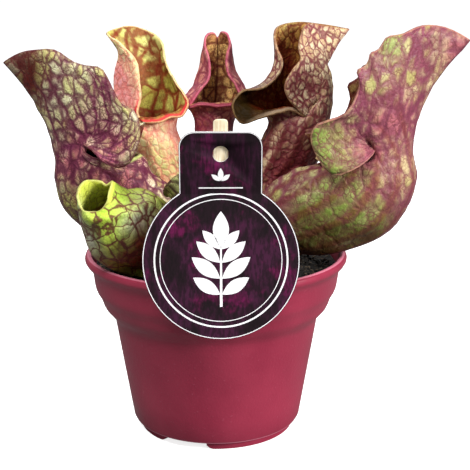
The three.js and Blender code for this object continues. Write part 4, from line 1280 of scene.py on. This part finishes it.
print_material, tree, shader = material("aubergine_print")
place = node(tree, "ShaderNodeTexCoord").outputs["Object"]
streak_place = node(tree, "ShaderNodeMapping", {"Vector": place, "Scale": (1.0, 1.0, 0.45)}).outputs[0]
clouds = noise_node(tree, streak_place, 110, 5, 0.62).outputs["Fac"]
blots = noise_node(tree, place, 85, 4, 0.6).outputs["Fac"]
thin_place = node(tree, "ShaderNodeMapping", {"Vector": place, "Scale": (1.0, 1.0, 0.12)}).outputs[0]
streaks = noise_node(tree, thin_place, 900, 3, 0.6).outputs["Fac"]
colour = mix_colour(tree, ramp(tree, clouds, 0.4, 0.62), linear(28, 16, 22), linear(60, 24, 48))
colour = mix_colour(tree, math_node(tree, "MULTIPLY", ramp(tree, blots, 0.52, 0.68), 0.85), colour,
                    linear(98, 18, 66))
colour = mix_colour(tree, ramp(tree, streaks, 0.42, 0.58, 0.6, 0.0), colour, linear(18, 12, 14))
tree.links.new(colour, shader.inputs["Base Color"])
shader.inputs["Roughness"].default_value = 0.75
shader.inputs["Specular IOR Level"].default_value = 0.1

white_material, tree, shader = material("white_ink")
place = node(tree, "ShaderNodeTexCoord").outputs["Object"]
grain = noise_node(tree, place, 1500, 2).outputs["Fac"]
colour = mix_colour(tree, ramp(tree, grain, 0.3, 0.7), linear(232, 230, 232), linear(246, 245, 246))
tree.links.new(colour, shader.inputs["Base Color"])
shader.inputs["Roughness"].default_value = 0.5


def tilt(y, z, degrees):
    turn = math.radians(degrees)
    return y * math.cos(turn) - z * math.sin(turn), y * math.sin(turn) + z * math.cos(turn)


def bend_label(piece, lean_below=DISC_BEND):
    """Takes a piece, drawn in X and Z from the crease, to its place, with its own lean below the crease."""
    for vert in piece.data.vertices:
        x, y, z = (value / MM for value in vert.co)
        y, z = tilt(y, z, -TAB_LEAN if z >= 0 else -lean_below)
        vert.co = Vector((x + LABEL_X, y + CREASE_Y, z + CREASE_HEIGHT)) * MM


def arc(middle, radius, start, end, count):
    turns = [math.radians(start + (end - start) * i / (count - 1)) for i in range(count)]
    return [(middle[0] + radius * math.cos(turn), middle[1] + radius * math.sin(turn)) for turn in turns]


half = TAB_WIDTH / 2
corner_x = half - TAB_CORNER
corner_z = TAB_HEIGHT - TAB_CORNER
open_angle = math.degrees(math.atan2(DISC_DROP, half))
outline = arc((corner_x, corner_z), TAB_CORNER, 0, 90, 12)
outline += arc((-corner_x, corner_z), TAB_CORNER, 90, 180, 12)
outline += arc((0, -DISC_DROP), DISC_RADIUS, 180 - open_angle, 360 + open_angle, 100)
label_bm = bmesh.new()
label_bm.faces.new([label_bm.verts.new((x * MM, 0, z * MM)) for x, z in outline])
for height in CREASE_CUTS:
    bmesh.ops.bisect_plane(label_bm, geom=label_bm.verts[:] + label_bm.edges[:] + label_bm.faces[:],
                           plane_co=(0, 0, height * MM), plane_no=(0, 0, 1))
grown = bmesh.ops.extrude_face_region(label_bm, geom=label_bm.faces[:], use_keep_orig=True)
bmesh.ops.translate(label_bm, verts=new_parts(grown, bmesh.types.BMVert),
                    vec=(0, -LABEL_THICKNESS * MM, 0))
bmesh.ops.recalc_face_normals(label_bm, faces=label_bm.faces)
label_mesh = mesh_from(label_bm, "plant_label", [print_material, white_material], smooth_angle=9)
label = new_object("plant_label", label_mesh)
punch_bm = bmesh.new()
rod(punch_bm, LABEL_HOLE_RADIUS, PUNCH_LENGTH, 48)
bmesh.ops.rotate(punch_bm, verts=punch_bm.verts, matrix=Matrix.Rotation(math.pi / 2, 3, "X"))
bmesh.ops.translate(punch_bm, verts=punch_bm.verts, vec=(0, 0, (TAB_HEIGHT - LABEL_HOLE_DROP) * MM))
cut(label, punch_bm)
for face in label.data.polygons:
    if abs(face.normal.y) < 0.5:
        face.material_index = 1
bend_label(label)
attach(label, "root")
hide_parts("label")

INK = 0.06
INK_GAP = 0.01
BORDER = 0.32
RINGS = ((27.2, 0.7), (24.9, 0.3))
SPRIG_FOOT = -19
SPRIG_TIP = 15
SPRIG_PAIRS = ((-14, 13), (-7.5, 14.5), (-1, 13), (4.5, 10.5))
BUD_DROP = 20.5
TAB_LINE = (2.3, 2.8)
ink_bm = bmesh.new()


def ink_shape(points):
    """A flat printed shape from its outline in X and Z, on the front of the label."""
    front = LABEL_THICKNESS + INK_GAP
    verts = [ink_bm.verts.new((x * MM, -front * MM, z * MM)) for x, z in points]
    face = ink_bm.faces.new(verts)
    grown = bmesh.ops.extrude_face_region(ink_bm, geom=[face], use_keep_orig=True)
    bmesh.ops.translate(ink_bm, verts=new_parts(grown, bmesh.types.BMVert), vec=(0, -INK * MM, 0))


def ink_bar(left, right, low, high):
    ink_shape([(left, low), (right, low), (right, high), (left, high)])


def ink_leaf(x, z, length, width, turn):
    """A pointed leaf from its foot, at an angle from upright."""
    points = []
    for side in (1, -1):
        for i in range(1, 14):
            part = i / 14 if side > 0 else 1 - i / 14
            points.append((side * width / 2 * math.sin(math.pi * part) ** 0.9, part * length))
    points = [(0, 0)] + points[:13] + [(0, length)] + points[13:]
    c, s = math.cos(math.radians(turn)), math.sin(math.radians(turn))
    ink_shape([(x + px * c + pz * s, z - px * s + pz * c) for px, pz in points])


def ink_ring(x, z, radius, width, start=0, end=360, count=96):
    outer = arc((x, z), radius + width / 2, start, end, count)
    inner = arc((x, z), radius - width / 2, start, end, count)
    for i in range(count - 1):
        ink_shape([outer[i], outer[i + 1], inner[i + 1], inner[i]])


middle = -DISC_DROP
for radius, width in RINGS:
    ink_ring(0, middle, radius, width)
stem_foot = middle + SPRIG_FOOT
stem_top = middle + 6
ink_shape([(-0.55, stem_foot), (0.55, stem_foot), (0.35, stem_top), (-0.35, stem_top)])
ink_leaf(0, middle + 5, SPRIG_TIP, 6.6, 0)
for i, (rise, length) in enumerate(SPRIG_PAIRS):
    for side in (-1, 1):
        ink_leaf(side * 0.4, middle + rise, length, length * 0.4, side * (58 - 5 * i))
ink_leaf(0, TAB_HEIGHT - BUD_DROP, 5.4, 2.3, 0)
for side in (1, -1):
    ink_leaf(side * 0.3, TAB_HEIGHT - BUD_DROP, 4.4, 1.9, side * 52)
ink_bar(-9, 9, *TAB_LINE)
ink_ring(0, middle, DISC_RADIUS - BORDER, BORDER, 180 - open_angle, 360 + open_angle, 160)
for side, start in ((1, 0), (-1, 90)):
    ink_ring(side * corner_x, corner_z, TAB_CORNER - BORDER, BORDER, start, start + 90, 20)
    edge_x = side * (half - BORDER)
    ink_bar(edge_x - BORDER / 2, edge_x + BORDER / 2, 0.1, corner_z)
ink_bar(-corner_x, corner_x, TAB_HEIGHT - 1.5 * BORDER, TAB_HEIGHT - 0.5 * BORDER)
bmesh.ops.recalc_face_normals(ink_bm, faces=ink_bm.faces)
ink = new_object("label_print", mesh_from(ink_bm, "label_print", [white_material], smooth_angle=30))
bend_label(ink)
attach(ink, "root")

# Stick: a flat slip of pale wood with rounded corners, pushed into the peat. It stands behind the
# label, which is fixed to it, and its end shows through the label's hole and over its top.
STICK_WIDTH = 6
STICK_DEPTH = 2.5
STICK_TOP = 30.5
STICK_BOTTOM = -64
STICK_GAP = 0.3
STICK_CORNER = 1.6
STICK_EDGE = 0.25

wood_material, tree, shader = material("pale_wood")
place = node(tree, "ShaderNodeTexCoord").outputs["Object"]
grain_place = node(tree, "ShaderNodeMapping", {"Vector": place, "Scale": (1.0, 1.0, 0.06)}).outputs[0]
grain = noise_node(tree, grain_place, 1400, 4, 0.6).outputs["Fac"]
flecks = noise_node(tree, place, 700, 3, 0.6).outputs["Fac"]
colour = mix_colour(tree, ramp(tree, grain, 0.3, 0.7), linear(240, 228, 200), linear(214, 194, 156))
colour = mix_colour(tree, ramp(tree, flecks, 0.66, 0.8), colour, linear(186, 160, 122))
tree.links.new(colour, shader.inputs["Base Color"])
shader.inputs["Roughness"].default_value = 0.75
bump(tree, shader, math_node(tree, "ADD", grain, flecks), 0.0002)

stick_bm = bmesh.new()
bmesh.ops.create_cube(stick_bm, size=1)
bmesh.ops.scale(stick_bm, verts=stick_bm.verts,
                vec=(STICK_WIDTH * MM, STICK_DEPTH * MM, (STICK_TOP - STICK_BOTTOM) * MM))
bmesh.ops.translate(stick_bm, verts=stick_bm.verts, vec=(
    0, (STICK_DEPTH / 2 + STICK_GAP) * MM, (STICK_TOP + STICK_BOTTOM) / 2 * MM))
corners = [edge for edge in stick_bm.edges
           if abs(edge.verts[0].co.y - edge.verts[1].co.y) > MM and edge.verts[0].co.z > 0]
bmesh.ops.bevel(stick_bm, geom=corners, offset=STICK_CORNER * MM, affect="EDGES", segments=8,
                profile=0.5, material=-1)
long_edges = [edge for edge in stick_bm.edges
              if len(edge.link_faces) == 2 and edge.calc_face_angle(0) > math.radians(60)]
bmesh.ops.bevel(stick_bm, geom=long_edges, offset=STICK_EDGE * MM, affect="EDGES", segments=2,
                profile=0.5, material=-1)
bmesh.ops.subdivide_edges(stick_bm, edges=[edge for edge in stick_bm.edges if edge.calc_length() > 0.05],
                          cuts=12, use_grid_fill=True)
stick = new_object("wooden_stick", mesh_from(stick_bm, "wooden_stick", [wood_material], smooth_angle=40))
bend_label(stick, lean_below=TAB_LEAN)
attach(stick, "root")
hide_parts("stick")
